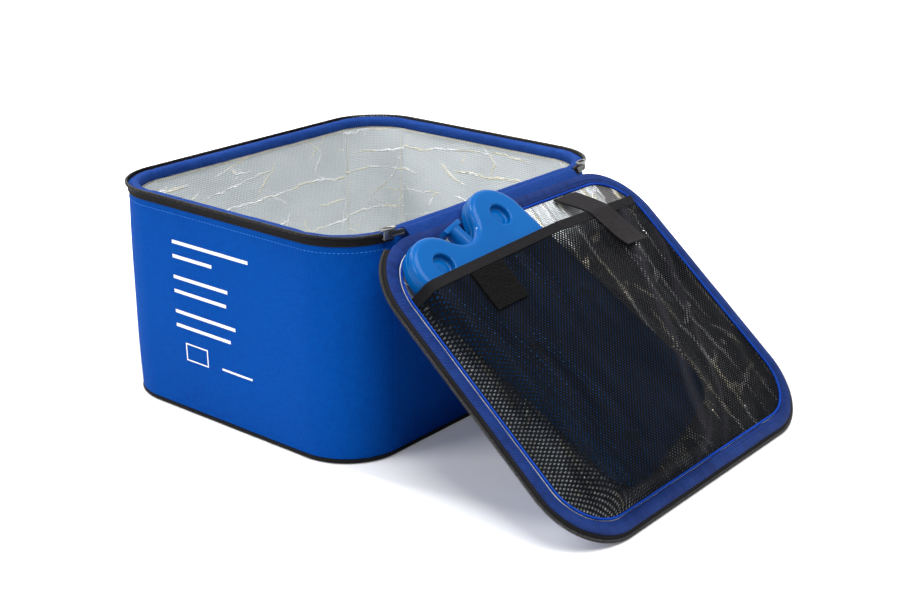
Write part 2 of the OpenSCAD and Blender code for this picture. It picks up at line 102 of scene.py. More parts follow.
class Side(Enum):
    """The two ends of the hinge, by the sign of y."""

    FRONT = -1
    BACK = 1


class Bench:
    """Blender's modelling tools, used one piece at a time."""

    @staticmethod
    def clear() -> None:
        """Leave edit mode and deselect every object."""
        if bpy.context.mode != "OBJECT":
            bpy.ops.object.mode_set(mode="OBJECT")
        bpy.ops.object.select_all(action="DESELECT")

    @staticmethod
    def take(obj: Piece) -> None:
        """Select one object alone and make it the active one.

        Args:
            obj: The object.
        """
        Bench.clear()
        obj.select_set(True)
        bpy.context.view_layer.objects.active = obj

    @staticmethod
    def named(name: str) -> Piece:
        """Name the primitive that was just added and return it.

        Args:
            name: The new name.

        Returns:
            The object.
        """
        obj = bpy.context.view_layer.objects.active
        obj.name = name
        obj.data.name = name
        return obj

    @staticmethod
    def add(primitive: Callable[..., object], name: str, **settings: object) -> Piece:
        """Add one primitive with its settings and name it.

        Args:
            primitive: Blender's call that adds it.
            name: Name of the new object.
            settings: What the call takes.

        Returns:
            The new object.
        """
        Bench.clear()
        primitive(**settings)
        return Bench.named(name)

    @staticmethod
    @contextmanager
    def editing(obj: Piece) -> Iterator[None]:
        """Hold one object in edit mode while its mesh is shaped.

        Args:
            obj: The object.
        """
        Bench.take(obj)
        bpy.ops.object.mode_set(mode="EDIT")
        yield
        bpy.ops.object.mode_set(mode="OBJECT")

    @staticmethod
    def pick(obj: Piece, kind: str, test: Callable[..., bool]) -> None:
        """Select vertices, edges or faces by a test, in edit mode.

        Args:
            obj: The object that is being edited.
            kind: VERT, EDGE or FACE.
            test: Takes the element and says whether it is selected.
        """
        bpy.ops.mesh.select_mode(type=kind)
        bpy.ops.mesh.select_all(action="DESELECT")
        mesh = bmesh.from_edit_mesh(obj.data)
        parts = {"VERT": mesh.verts, "EDGE": mesh.edges, "FACE": mesh.faces}[kind]
        for part in parts:
            if test(part):
                part.select_set(True)
        mesh.select_flush_mode()
        bmesh.update_edit_mesh(obj.data)

    @staticmethod
    def draw(name: str, points: Sequence[Sequence[float]], closed: bool = False) -> Piece:
        """Draw a line of edges by extruding one point from place to place.

        Args:
            name: Name of the new object.
            points: The corners of the line.
            closed: Whether its last point joins the first.

        Returns:
            The object, with edges and no faces.
        """
        obj = Bench.add(bpy.ops.mesh.primitive_plane_add, name, size=MM, location=(0, 0, 0))
        with Bench.editing(obj):
            Bench.whole("VERT")
            bpy.ops.mesh.merge(type="CENTER")
            bpy.ops.transform.translate(value=points[0])
            for before, after in zip(points, points[1:]):
                step = [b - a for a, b in zip(before, after)]
                Bench.extrude(step)
            if closed:
                first, last = Vector(points[0]), Vector(points[-1])
                Bench.pick(obj, "VERT", lambda v: min((v.co - first).length, (v.co - last).length) < 1e-7)
                bpy.ops.mesh.edge_face_add()
        return obj

    @staticmethod
    def whole(kind: str = "") -> None:
        """Select the whole mesh in edit mode, in another select mode where one is named."""
        if kind:
            bpy.ops.mesh.select_mode(type=kind)
        bpy.ops.mesh.select_all(action="SELECT")

    @staticmethod
    def outwards() -> None:
        """Turn every face outwards, in edit mode."""
        Bench.whole()
        bpy.ops.mesh.normals_make_consistent(inside=False)

    @staticmethod
    def extrude(step: Sequence[float]) -> None:
        """Extrude the selection by a step, in edit mode."""
        bpy.ops.mesh.extrude_region_move(TRANSFORM_OT_translate={"value": step})

    @staticmethod
    def settle(obj: Piece) -> None:
        """Put an object's place, turn and scale into its mesh."""
        Bench.take(obj)
        bpy.ops.object.transform_apply(location=True, rotation=True, scale=True)

    @staticmethod
    def grid(name: str, across: int, along: int) -> Piece:
        """Add a flat grid, one unit wide and long, with its numbers of faces."""
        return Bench.add(bpy.ops.mesh.primitive_grid_add, name, x_subdivisions=across, y_subdivisions=along, size=1,
                         location=(0, 0, 0))

    @staticmethod
    def block(name: str, size: Sequence[float], place: Sequence[float]) -> Piece:
        """Add a block of a size at a place, which still has to be settled.

        Args:
            name: Name of the new object.
            size: Its lengths along the axes.
            place: Its middle.

        Returns:
            The block.
        """
        obj = Bench.add(bpy.ops.mesh.primitive_cube_add, name, size=1, location=place)
        with Bench.editing(obj):
            Bench.whole()
            bpy.ops.transform.resize(value=size)
        return obj

    @staticmethod
    def stitch(name: str, radius: float, long: float, turn: float = math.pi / 2,
               place: Sequence[float] = (0, 0, 0)) -> Piece:
        """Make one straight stitch, as a thin bar.

        Args:
            name: Name of the new object.
            radius: Its radius in millimetres.
            long: Its length in millimetres.
            turn: Angle from upright towards +X.
            place: Its middle.

        Returns:
            The stitch.
        """
        unit = Bench.add(bpy.ops.mesh.primitive_cylinder_add, name, vertices=6, radius=radius * MM, depth=long * MM,
                         rotation=(0, turn, 0), location=place)
        Bench.settle(unit)
        return unit

    @staticmethod
    def row(obj: Piece, step: Sequence[float], count: int) -> None:
        """Repeat a piece in a straight row."""
        Bench.finish_with(obj, "ARRAY", use_relative_offset=False, use_constant_offset=True,
                          constant_offset_displace=step, count=count)

    @staticmethod
    def paint(obj: Piece, material: Material) -> None:
        """Give an object one material alone."""
        obj.data.materials.clear()
        obj.data.materials.append(material)

    @staticmethod
    def finish_with(obj: Piece, kind: str, **settings: object) -> None:
        """Add one modifier with its settings and apply it.

        Args:
            obj: The object.
            kind: The modifier's type.
            settings: Its settings by name.
        """
        Bench.take(obj)
        modifier = obj.modifiers.new(kind.title(), kind)
        for name, value in settings.items():
            setattr(modifier, name, value)
        bpy.ops.object.modifier_apply(modifier=modifier.name)

    @staticmethod
    def close_up(obj: Piece, gap: float = 1e-6) -> None:
        """Merge doubled points and turn the faces outwards.

        Args:
            obj: The object.
            gap: Points closer than this are merged.
        """
        with Bench.editing(obj):
            Bench.whole()
            bpy.ops.mesh.remove_doubles(threshold=gap)
            bpy.ops.mesh.normals_make_consistent(inside=False)

    @staticmethod
    def place(obj: Piece, matrix: Matrix) -> None:
        """Move a mesh by a matrix and leave its object at the origin."""
        obj.matrix_world = matrix @ obj.matrix_world
        Bench.settle(obj)

    @staticmethod
    def move(obj: Piece, rule: Callable[[Vector], Vector]) -> None:
        """Move every point of a soft piece by a rule, as with a sculpting brush.

        Args:
            obj: The object.
            rule: Takes a point and returns its new place.
        """
        points = np.empty(len(obj.data.vertices) * 3)
        obj.data.vertices.foreach_get("co", points)
        moved = [tuple(rule(Vector(p))) for p in points.reshape(-1, 3)]
        obj.data.vertices.foreach_set("co", np.array(moved).ravel())
        obj.data.update()

    @staticmethod
    def smooth(obj: Piece, angle: float = 40.0) -> None:
        """Shade a piece smooth, and keep edges sharper than an angle in degrees."""
        Bench.take(obj)
        bpy.ops.object.shade_smooth_by_angle(angle=math.radians(angle))

    @staticmethod
    def join(name: str, parts: Sequence[Piece]) -> Piece:
        """Join several objects into one piece.

        Args:
            name: Name of the whole.
            parts: The objects, which become one.

        Returns:
            The joined object.
        """
        Bench.clear()
        for part in parts:
            part.select_set(True)
        bpy.context.view_layer.objects.active = parts[0]
        bpy.ops.object.join()
        return Bench.named(name)

    @staticmethod
    def cut(obj: Piece, tool: Piece, operation: str = "DIFFERENCE") -> None:
        """Cut or join a piece with another one, which is then deleted."""
        Bench.finish_with(obj, "BOOLEAN", object=tool, operation=operation, solver="EXACT")
        bpy.data.objects.remove(tool)


def lay_uv(obj: Piece, rule: Rule, wrap: float = 0.0) -> None:
    """Lay the cloth's own directions on a piece as a UV map in metres.

    Args:
        obj: The finished piece.
        rule: Takes a point and returns its two distances along the cloth.
        wrap: Length of the first direction where it closes on itself, or 0.
    """
    mesh = obj.data
    layer = mesh.uv_layers.active or mesh.uv_layers.new(name="cloth")
    flat = [rule(v.co) for v in mesh.vertices]
    out = np.zeros((len(mesh.loops), 2))
    for face in mesh.polygons:
        pairs = [list(flat[i]) for i in face.vertices]
        if wrap:
            most = max(p[0] for p in pairs)
            for p in pairs:
                if most - p[0] > wrap / 2:
                    p[0] += wrap
        out[face.loop_start:face.loop_start + face.loop_total] = pairs
    layer.data.foreach_set("uv", out.ravel())


def finished(angle: float, piece: Piece, rule: Rule,
             wrap: float = 0.0) -> Piece:
    """Give a shaped piece its UV map and its smooth shading.

    Args:
        angle: Edges sharper than this stay sharp, in degrees.
        piece: The piece.
        rule: Takes a point and returns its two distances along the cloth.
        wrap: Length of the first direction where it closes on itself, or 0.

    Returns:
        The finished piece.
    """
    lay_uv(piece, rule, wrap)
    Bench.smooth(piece, angle)
    return piece


def thicken(piece: Piece, thick: float, rule: Rule,
            angle: float = 50.0) -> Piece:
    """Give a shaped sheet its thickness, its UV map and its smooth shading.

    Args:
        piece: The sheet, without thickness.
        thick: Its thickness.
        rule: Takes a point and returns its two distances along the cloth.
        angle: Edges sharper than this stay sharp, in degrees.

    Returns:
        The finished piece.
    """
    Bench.finish_with(piece, "SOLIDIFY", thickness=thick, offset=0)
    lay_uv(piece, rule)
    Bench.close_up(piece)
    Bench.smooth(piece, angle)
    return piece


def ripple(place: Vector, size: float, shift: float = 0.0) -> float:
    """A smooth random height from -1 to 1.

    Args:
        place: Where it is read.
        size: Size of one swell in metres.
        shift: Picks another field of the same kind.

    Returns:
        The height there.
    """
    return noise.noise(place / size + Vector((shift, 1.7 * shift, -0.6 * shift)))


@dataclass(frozen=True)
class Outline:
    """A rounded rectangle seen from above, with its hinge side at +X.

    The length along it starts at the front end of the hinge side and runs along +Y first.
    """

    width: float
    depth: float
    radius: float

    @property
    def corner_x(self) -> float:
        """Distance from the middle to the corner centres across the hinge."""
        return self.width / 2 - self.radius

    @property
    def corner_y(self) -> float:
        """Distance from the middle to the corner centres along the hinge."""
        return self.depth / 2 - self.radius

    @property
    def quarter(self) -> float:
        """Length of one corner."""
        return math.pi * self.radius / 2

    @property
    def length(self) -> float:
        """Length all the way round."""
        return 4 * (self.corner_x + self.corner_y + self.quarter)

    def measure(self, place: Vector) -> tuple[float, float]:
        """Find how far along and how far out a point is.

        Args:
            place: A point near the outline.

        Returns:
            The length along the outline and the distance out of it.
        """
        cx, cy, q = self.corner_x, self.corner_y, self.quarter
        x, y = place.x, place.y
        ends = [0, 2 * cy, 2 * cy + q, 2 * cy + q + 2 * cx, 2 * cy + 2 * q + 2 * cx,
                4 * cy + 2 * q + 2 * cx, 4 * cy + 3 * q + 2 * cx, 4 * cy + 3 * q + 4 * cx]
        if abs(y) <= cy and abs(x) >= cx:
            return (y + cy, x - self.width / 2) if x > 0 else (ends[4] + cy - y, -x - self.width / 2)
        if abs(x) <= cx:
            return (ends[2] + cx - x, y - self.depth / 2) if y > 0 else (ends[6] + x + cx, -y - self.depth / 2)
        sx, sy = math.copysign(1, x), math.copysign(1, y)
        dx, dy = x - sx * cx, y - sy * cy
        turn = math.atan2(dy, dx) % (2 * math.pi)
        index = {(1, 1): 0, (-1, 1): 1, (-1, -1): 2, (1, -1): 3}[(sx, sy)]
        start = (ends[1], ends[3], ends[5], ends[7])[index]
        return start + (turn - index * math.pi / 2) * self.radius, math.hypot(dx, dy) - self.radius

    def unroll(self, place: Vector) -> tuple[float, float]:
        """The length along the outline and the height of a point."""
        return self.measure(place)[0], place.z

    def at(self, along: float, out: float = 0.0) -> tuple[float, float, float]:
        """Find the point at a length along the outline.

        Args:
            along: Length from the start.
            out: Distance out of the outline.

        Returns:
            x, y and the direction that points outwards, as an angle.
        """
        cx, cy, q = self.corner_x, self.corner_y, self.quarter
        along %= self.length
        corners = ((cx, cy), (-cx, cy), (-cx, -cy), (cx, -cy))
        runs = (2 * cy, 2 * cx, 2 * cy, 2 * cx)
        for i in range(4):
            facing = i * math.pi / 2
            x, y = corners[i]
            if along <= runs[i]:
                back = runs[i] - along
                reach = self.radius + out
                return (x + reach * math.cos(facing) + back * math.sin(facing),
                        y + reach * math.sin(facing) - back * math.cos(facing), facing)
            along -= runs[i]
            if along <= q:
                turn = facing + along / self.radius
                reach = self.radius + out
                return x + reach * math.cos(turn), y + reach * math.sin(turn), turn
            along -= q
        return self.width / 2 + out, -cy, 0.0

    def sweep(self, name: str, section: Section, closed: bool = True, hinge_side: bool = True,
              cell: float = 0.008, corner_steps: int = 18) -> Piece:
        """Run a section round the outline by extruding and spinning it.

        Args:
            name: Name of the new object.
            section: Distances out of the outline and heights.
            closed: Whether the section is a closed line.
            hinge_side: Whether it also runs along the hinge side.
            cell: Length of a face on the straight sides.
            corner_steps: Number of faces round a corner.

        Returns:
            The swept object.
        """
        cx, cy = self.corner_x, self.corner_y
        start = -cy if hinge_side else cy
        line = Bench.draw(name, [(self.width / 2 + out, start, up) for out, up in section], closed)
        corners = ((cx, cy), (-cx, cy), (-cx, -cy), (cx, -cy))
        headings = ((0, 1), (-1, 0), (0, -1), (1, 0))
        with Bench.editing(line):
            Bench.whole("EDGE")
            for i in range(4):
                if i or hinge_side:
                    run = 2 * (cy if i % 2 == 0 else cx)
                    cuts = max(1, round(run / cell))
                    step = (headings[i][0] * run / cuts, headings[i][1] * run / cuts, 0)
                    for _ in range(cuts):
                        Bench.extrude(step)
                bpy.ops.mesh.spin(steps=corner_steps, angle=-math.pi / 2, dupli=False,
                                  center=(*corners[i], 0), axis=(0, 0, 1))
        Bench.close_up(line, 2e-6)
        return line

    def run_core(self, name: str, start: float, end: float, out: float, up: float) -> Piece:
        """Draw the sewn cord inside the teeth, as a thin round bar along the outline.

        Args:
            name: Name of the new object.
            start: Where it starts, as a length along the outline.
            end: Where it ends.
            out: Distance out of the outline.
            up: Its height.

        Returns:
            The bar.
        """
        bar = Bench.add(bpy.ops.mesh.primitive_cylinder_add, name, vertices=8, radius=0.62 * MM, depth=4 * MM,
                        rotation=(0, math.pi / 2, 0), end_fill_type="NOTHING")
        Bench.settle(bar)
        self.run_along(bar, 4 * MM, start, end, out, up)
        Bench.close_up(bar, 2e-5)
        return bar

    def run_along(self, unit: Piece, pitch: float, start: float, end: float,
                  out: float, up: float) -> None:
        """Repeat a small piece along the outline.

        Args:
            unit: The piece, drawn at the origin with +X along the outline and -Y outwards.
            pitch: Distance from one to the next.
            start: Where the row starts, as a length along the outline.
            end: Where it ends.
            out: Distance of the row out of the outline.
            up: Height of the row.
        """
        Bench.row(unit, (pitch, 0, 0), max(1, int((end - start) / pitch)))
        curve = bpy.data.curves.new(unit.name + "_way", "CURVE")
        curve.dimensions = "2D"
        spline = curve.splines.new("POLY")
        spline.points.add(WAY_POINTS - 1)
        for i in range(WAY_POINTS):
            x, y, _ = self.at(start + (end - start) * i / (WAY_POINTS - 1), out)
            spline.points[i].co = (x, y, 0, 1)
        way = bpy.data.objects.new(curve.name, curve)
        bpy.context.collection.objects.link(way)
        Bench.finish_with(unit, "CURVE", object=way, deform_axis="POS_X")
        bpy.data.objects.remove(way)
        bpy.data.curves.remove(curve)
        Bench.place(unit, Matrix.Translation((0, 0, up)))


@dataclass(frozen=True)
class LidPlace:
    """The open lid's frame: u runs down the lid, v along the hinge, n out of its inner face."""

    hinge_x: float = 0.129
    hinge_z: float = 0.170
    tilt: float = math.radians(40.3)
    middle: float = 0.13075

    @property
    def matrix(self) -> Matrix:
        """Turns (u, v, n) into the frame of the model."""
        return Matrix.Translation((self.hinge_x, 0, self.hinge_z)) @ Matrix.Rotation(self.tilt, 4, "Y")

    @property
    def ring_matrix(self) -> Matrix:
        """Turns a ring drawn with its hinge side at +X into the lid."""
        return self.matrix @ Matrix.Translation((self.middle, 0, 0)) @ Matrix.Rotation(math.pi, 4, "Z")

    def point(self, u: float, v: float, n: float) -> Vector:
        """The point of the model at a place on the open lid."""
        return self.matrix @ Vector((u, v, n))

    def flat_uv(self, place: Vector) -> tuple[float, float]:
        """u and v of a point of the model."""
        return tuple((self.matrix.inverted() @ place).xy)

    def turned_uv(self, place: Vector) -> tuple[float, float]:
        """v and u of a point of the model, for cloth that runs the other way."""
        return tuple((self.matrix.inverted() @ place).yx)


LID = LidPlace()
BOX = Outline(0.252, 0.300, 0.045)
LID_EDGE = Outline(0.2435, 0.295, 0.048)
WAY_POINTS = 260
SKIN_ROUNDS = 2600
ROPE_ROUNDS = 9000
NET_SAMPLES = 700
TAPE_SAMPLES = 900
POCKET_HALF_MM = 136.15
POCKET_WIDE_MM = 272.3
MOUTH_FRONT_MM = 52
MOUTH_RISE_MM = 12
NET_GAP = 0.55 * MM
DIAGONAL = 0.707


class Graph:
    """The node graph of one material, written step by step."""

    def __init__(self, name: str) -> None:
        """Start a material with its shader alone.

        Args:
            name: Name of the material.
        """
        self.material = bpy.data.materials.new(name)
        self.material.use_nodes = True
        self.tree = self.material.node_tree
        self.shader = self.tree.nodes["Principled BSDF"]

    def add(self, kind: str, inputs: dict[str | int, object] | None = None, **settings: object) -> bpy.types.Node:
        """Add one node with its settings, and link or fill its inputs.

        Args:
            kind: The node's type, without its prefix.
            inputs: Links or values by socket.
            settings: The node's settings by name.

        Returns:
            The node.
        """
        node = self.tree.nodes.new("ShaderNode" + kind)
        for name, value in settings.items():
            setattr(node, name, value)
        for key, value in (inputs or {}).items():
            self.feed(node.inputs[key], value)
        return node

    def feed(self, socket: Socket, value: object) -> None:
        """Link a socket to another one, or give it a plain value.

        Args:
            socket: The input.
            value: A socket or a plain value.
        """
        if isinstance(value, Socket):
            self.tree.links.new(value, socket)
        elif isinstance(value, tuple) and len(value) == 3 and socket.type == "RGBA":
            socket.default_value = (*value, 1)
        else:
            socket.default_value = value

    def math(self, operation: str, *values: object) -> Socket:
        """One Math node of two or three values."""
        node = self.add("Math", dict(enumerate(values)), operation=operation)
        return node.outputs[0]

    def times(self, first: object, second: object) -> Socket:
        """One value times another."""
        return self.math("MULTIPLY", first, second)

    def times_plus(self, first: object, second: object, rest: object) -> Socket:
        """One value times another, plus the rest."""
        return self.math("MULTIPLY_ADD", first, second, rest)

    def wave(self, kind: str, place: object, step: float) -> Socket:
        """A sine or cosine of a place, turned into an angle by a step."""
        return self.math(kind, self.times(place, step))

    def fade(self, value: Socket, low: float, high: float) -> Socket:
        """A rise from 0 to 1 between two values."""
        return self.ramp(value, [(low, 0.0), (high, 1.0)])

    def cloth(self) -> Socket:
        """The piece's own UV map, in metres."""
        return self.add("TexCoord").outputs["UV"]

    def place(self) -> Socket:
        """The place on the piece, in metres."""
        return self.add("TexCoord").outputs["Object"]

    def stretch(self, vector: Socket, scale: tuple[float, float, float],
                turn: float = 0.0) -> Socket:
        """Scale a place along its axes and turn it in its plane."""
        node = self.add("Mapping", {"Vector": vector, "Scale": scale, "Rotation": (0, 0, turn)})
        return node.outputs[0]

    def split(self, vector: Socket) -> tuple[Socket, Socket]:
        """The first two parts of a vector."""
        node = self.add("SeparateXYZ", {0: vector})
        return node.outputs[0], node.outputs[1]

    def noise(self, vector: Socket, scale: float, detail: float = 2.0,
              roughness: float = 0.5, distortion: float = 0.0) -> Socket:
        """A smooth noise from 0 to 1."""
        return self.add("TexNoise", {"Vector": vector, "Scale": scale, "Detail": detail,
                                     "Roughness": roughness, "Distortion": distortion}).outputs[0]

    def cells(self, vector: Socket, scale: float, feature: str = "DISTANCE_TO_EDGE",
              chance: float = 1.0) -> Socket:
        """Distance in a pattern of irregular cells."""
        return self.add("TexVoronoi", {"Vector": vector, "Scale": scale, "Randomness": chance},
                        feature=feature).outputs["Distance"]

    def ramp(self, value: Socket, stops: Sequence[tuple[float, Colour | float]]) -> Socket:
        """A colour ramp, of colours or of greys given as numbers.

        Args:
            value: What is looked up.
            stops: Places from 0 to 1 with their colours or greys.

        Returns:
            The colour.
        """
        node = self.add("ValToRGB", {0: value})
        elements = node.color_ramp.elements
        while len(elements) < len(stops):
            elements.new(0.5)
        for element, (spot, colour) in zip(elements, stops):
            element.position = spot
            element.color = (*colour, 1) if isinstance(colour, tuple) else (colour, colour, colour, 1)
        return node.outputs[0]

    def mix(self, share: object, first: object, second: object) -> Socket:
        """A mix of two colours.

        Args:
            share: Share of the second colour.
            first: The first colour.
            second: The second colour.

        Returns:
            The mixed colour.
        """
        node = self.add("Mix", data_type="RGBA")
        self.feed(node.inputs[0], share)
        self.feed(node.inputs[6], first)
        self.feed(node.inputs[7], second)
        return node.outputs[2]

    def bump(self, height: Socket, depth: float, strength: float = 1.0,
             under: Socket | None = None) -> Socket:
        """A bump of a depth in metres, over another bump where one is given.

        Args:
            height: The height.
            depth: Its depth in metres.
            strength: Its strength.
            under: The bump below it.

        Returns:
            The normal.
        """
        inputs = {"Height": height, "Distance": depth, "Strength": strength}
        if under is not None:
            inputs["Normal"] = under
        return self.add("Bump", inputs).outputs[0]

    def dress(self, **values: object) -> Material:
        """Give the shader its colour, roughness and other values by name."""
        names = {"colour": "Base Color", "rough": "Roughness", "metal": "Metallic", "normal": "Normal",
                 "alpha": "Alpha", "gloss": "Specular IOR Level"}
        for name, value in values.items():
            self.feed(self.shader.inputs[names[name]], value)
        return self.material


@dataclass(frozen=True)
class WovenCloth:
    """Plain-woven polyester cloth, with its threads along its UV map."""

    name: str
    colour: Colour
    deep: Colour
    pitch: float = 0.0012
    relief: float = 0.0002
    rough: float = 0.66
    gloss: float = 0.06
    wrinkle: float = 0.0007
    wrinkle_size: float = 26.0

    def build(self) -> Material:
        """Make the material."""
        g = Graph(self.name)
        cloth, place = g.cloth(), g.place()
        u, v = g.split(cloth)
        step = 2 * math.pi / self.pitch
        warp = g.wave("SINE", u, step)
        weft = g.wave("SINE", v, step)
        over = g.times(warp, weft)
        slub = g.noise(g.stretch(cloth, (900, 120, 1)), 1.0, 2.0, 0.6)
        pick = g.noise(g.stretch(cloth, (110, 950, 1)), 1.0, 2.0, 0.6)
        yarn = g.math("ADD", slub, pick)
        thread = g.times_plus(over, 0.6, yarn)
        drape = g.noise(place, self.wrinkle_size, 3.0, 0.55, 0.4)
        broad = g.noise(place, 9.0, 1.0)
        shade = g.times_plus(over, 0.16, g.times_plus(broad, 0.3, g.times(yarn, 0.42)))
        colour = g.mix(g.fade(shade, 0.3, 0.82), self.deep, self.colour)
        normal = g.bump(thread, self.relief, 0.8, g.bump(drape, self.wrinkle, 1.0))
        rough = g.times_plus(slub, 0.16, self.rough - 0.08)
        return g.dress(colour=colour, rough=rough, normal=normal, gloss=self.gloss)


@dataclass(frozen=True)
class RibbedBinding:
    """Grosgrain binding tape, with its ribs across its length."""

    name: str
    colour: Colour
    deep: Colour
    pitch: float = 0.0012
    relief: float = 0.0003
    rough: float = 0.6

    def build(self) -> Material:
        """Make the material."""
        g = Graph(self.name)
        cloth = g.cloth()
        u, v = g.split(cloth)
        uneven = g.noise(g.stretch(cloth, (240, 90, 1)), 1.0, 2.0)
        lean = g.times_plus(v, 0.35, g.times_plus(uneven, 0.0005, u))
        rib = g.wave("SINE", lean, 2 * math.pi / self.pitch)
        fine = g.wave("SINE", v, 2 * math.pi / 0.0006)
        height = g.times_plus(fine, 0.18, rib)
        drape = g.noise(g.place(), 34.0, 2.0)
        # The drape part of this colour follows the fold bump: painted shade, darker in the low parts of the folds.
        shade = g.times_plus(rib, 0.2, g.times_plus(uneven, 0.5, g.times(drape, 0.5)))
        colour = g.mix(g.fade(shade, 0.2, 0.8), self.deep, self.colour)
        normal = g.bump(height, self.relief, 0.8, g.bump(drape, 0.0009, 1.0))
        return g.dress(colour=colour, rough=self.rough, normal=normal, gloss=0.12)


@dataclass(frozen=True)
class QuiltedFoil:
    """Bright foil film over thin wadding, welded in a fine diagonal grid and creased by handling, with painted glints
    on its creases and, where set, patches of painted dark reflection.
    """

    name: str = "quilted_foil"
    pitch: float = 0.0023
    crease: float = 0.0007
    base: Colour = srgb(198, 205, 208)
    metal: float = 0.25
    glint: float = 0.26
    crease_w: float = 0.00042
    gap: float = 0.021
    # Share of painted dark reflection mixed into the foil's colour; 0 gives none.
    painted_dark_reflection: float = 0.0

    def lines(self, g: "Graph", place: Socket, gap: float, turn: float, shift: float,
              spread: float) -> Socket:
        """Long thin broken creases that run one way.

        Args:
            g: The graph.
            place: The place on the foil.
            gap: Distance from one to the next in metres.
            turn: The way that they run.
            shift: How far they wander, as a share of the gap.
            spread: Share of the foil that has none.

        Returns:
            1 on a crease and 0 beside it.
        """
        along, across = g.split(g.stretch(place, (1, 1, 1), turn))
        wander = g.noise(g.stretch(place, (7, 16, 1), turn), 1.0, 2.0)
        phase = g.times_plus(across, math.pi / gap, g.times(wander, shift * math.pi))
        width = self.crease_w * math.pi / gap
        line = g.ramp(g.math("ABSOLUTE", g.math("SINE", phase)), [(0.0, 1.0), (width, 0.9), (width * 2.2, 0.0)])
        broken = g.noise(g.stretch(place, (16, 40, 1), turn), 1.0, 2.0)
        return g.times(line, g.fade(broken, spread, spread + 0.05))

    def build(self) -> Material:
        """Make the material."""
        g = Graph(self.name)
        cloth = g.cloth()
        u, v = g.split(cloth)
        wave = g.noise(g.stretch(cloth, (45, 45, 1)), 1.0, 2.0)
        sway = g.times(wave, 0.0022)
        step = 2 * math.pi * DIAGONAL / self.pitch
        rise = g.math("SINE", g.times(g.math("ADD", g.math("ADD", u, v), sway), step))
        fall = g.math("SINE", g.times(g.math("ADD", g.math("SUBTRACT", u, v), sway), step))
        grid = g.times(rise, fall)
        bend = g.add("TexNoise", {"Vector": cloth, "Scale": 60.0, "Detail": 6.0, "Roughness": 0.62}).outputs[1]
        pulled = g.add("VectorMath", {0: cloth, 1: g.add("VectorMath", {0: bend, 1: (0.011, 0.011, 0.011)},
                                                         operation="MULTIPLY").outputs[0]}).outputs[0]
        level = self.lines(g, pulled, self.gap, 0.05, 1.5, 0.42)
        steep = self.lines(g, pulled, self.gap * 1.7, 0.95, 1.6, 0.52)
        cross = self.lines(g, pulled, self.gap * 2.2, -0.65, 1.6, 0.53)
        crease = g.math("MAXIMUM", level, g.math("MAXIMUM", steep, g.times(cross, 0.8)))
        crease = g.times(crease, g.times_plus(grid, 0.3, 0.85))
        pad = g.noise(g.stretch(pulled, (34, 34, 1)), 1.0, 3.0, 0.6)
        normal = g.bump(grid, 0.0002, 0.8, g.bump(g.times_plus(crease, 0.8, pad), self.crease, 1.0))
        patch = g.noise(g.stretch(cloth, (26, 26, 1)), 1.0, 2.0)
        tone = g.times_plus(grid, 0.42, g.times_plus(patch, 0.5, 0.25))
        ground = g.mix(g.fade(tone, 0.1, 0.9), tuple(c * 0.82 for c in self.base), srgb(214, 219, 221))
        # Painted dark reflection: patches of the ground are coloured dark brownish grey, as mirrored dark
        # surroundings, and thin out towards the lighter hinge end.
        bright_end = g.ramp(u, [(0.46, 0.0), (0.49, 0.3)])
        turned = g.times_plus(v, -1.6, g.noise(g.stretch(pulled, (13, 30, 1)), 1.0, 2.0))
        painted_reflection_mask = g.ramp(g.math("SUBTRACT", turned, bright_end), [(0.02, 0.0), (0.14, self.painted_dark_reflection)])
        ground = g.mix(painted_reflection_mask, ground, srgb(74, 71, 68))
        # Painted glint: the creases are coloured near white, cream in places, as where they catch the light.
        bright = g.mix(g.fade(patch, 0.46, 0.54), srgb(252, 252, 252), srgb(240, 232, 204))
        colour = g.mix(crease, ground, bright)
        rough = g.ramp(g.times_plus(grid, 0.2, pad), [(0.2, self.glint), (0.8, self.glint + 0.18)])
        return g.dress(colour=colour, rough=rough, metal=self.metal, normal=normal, gloss=0.5)


@dataclass(frozen=True)
class MouldedPlastic:
    """Moulded plastic with a faint orange-peel skin and handling marks."""

    name: str
    colour: Colour
    deep: Colour
    rough: float = 0.3
    peel: float = 0.00006
    gloss: float = 0.45
    metal: float = 0.0

    def build(self) -> Material:
        """Make the material."""
        g = Graph(self.name)
        place = g.place()
        cloudy = g.noise(place, 16.0, 3.0)
        grain = g.noise(place, 900.0, 2.0)
        rub = g.noise(g.stretch(place, (120, 40, 90)), 1.0, 4.0, 0.6)
        colour = g.mix(g.fade(cloudy, 0.3, 0.7), self.deep, self.colour)
        rough = g.times_plus(rub, 0.16, self.rough - 0.08)
        normal = g.bump(grain, self.peel, 0.5, g.bump(g.noise(place, 60.0, 1.0), 0.0002, 0.4))
        return g.dress(colour=colour, rough=rough, normal=normal, gloss=self.gloss, metal=self.metal)


@dataclass(frozen=True)
class OpenCellFoam:
    """Cut foam with small open cells, with painted shade in their hollows."""

    name: str
    colour: Colour

    def build(self) -> Material:
        """Make the material."""
        g = Graph(self.name)
        place = g.place()
        cell = g.cells(place, 700.0, "F1")
        # Painted shade: each cell is coloured darker towards its middle, where the bump sinks into a hollow.
        shade = g.mix(g.fade(cell, 0.1, 0.7), tuple(c * 0.7 for c in self.colour), self.colour)
        return g.dress(colour=shade, rough=0.95, normal=g.bump(cell, 0.0006, 0.8))


def hand_over(piece: Piece, material: Material, body: Body | None,
              nodes: Sequence[str] = ()) -> None:
    """Give a finished piece its material, its body and the solids that it stands for.

    Args:
        piece: The finished piece.
        material: Its material.
        body: The body that it rides on, or None for cloth between two bodies, which rides on neither.
        nodes: The CAD nodes that it replaces.
    """
    Bench.paint(piece, material)
    if body:
        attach(piece, body.value)
    if nodes:
        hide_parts(*nodes)
    LOG.info("%s: %d faces", piece.name, len(piece.data.polygons))


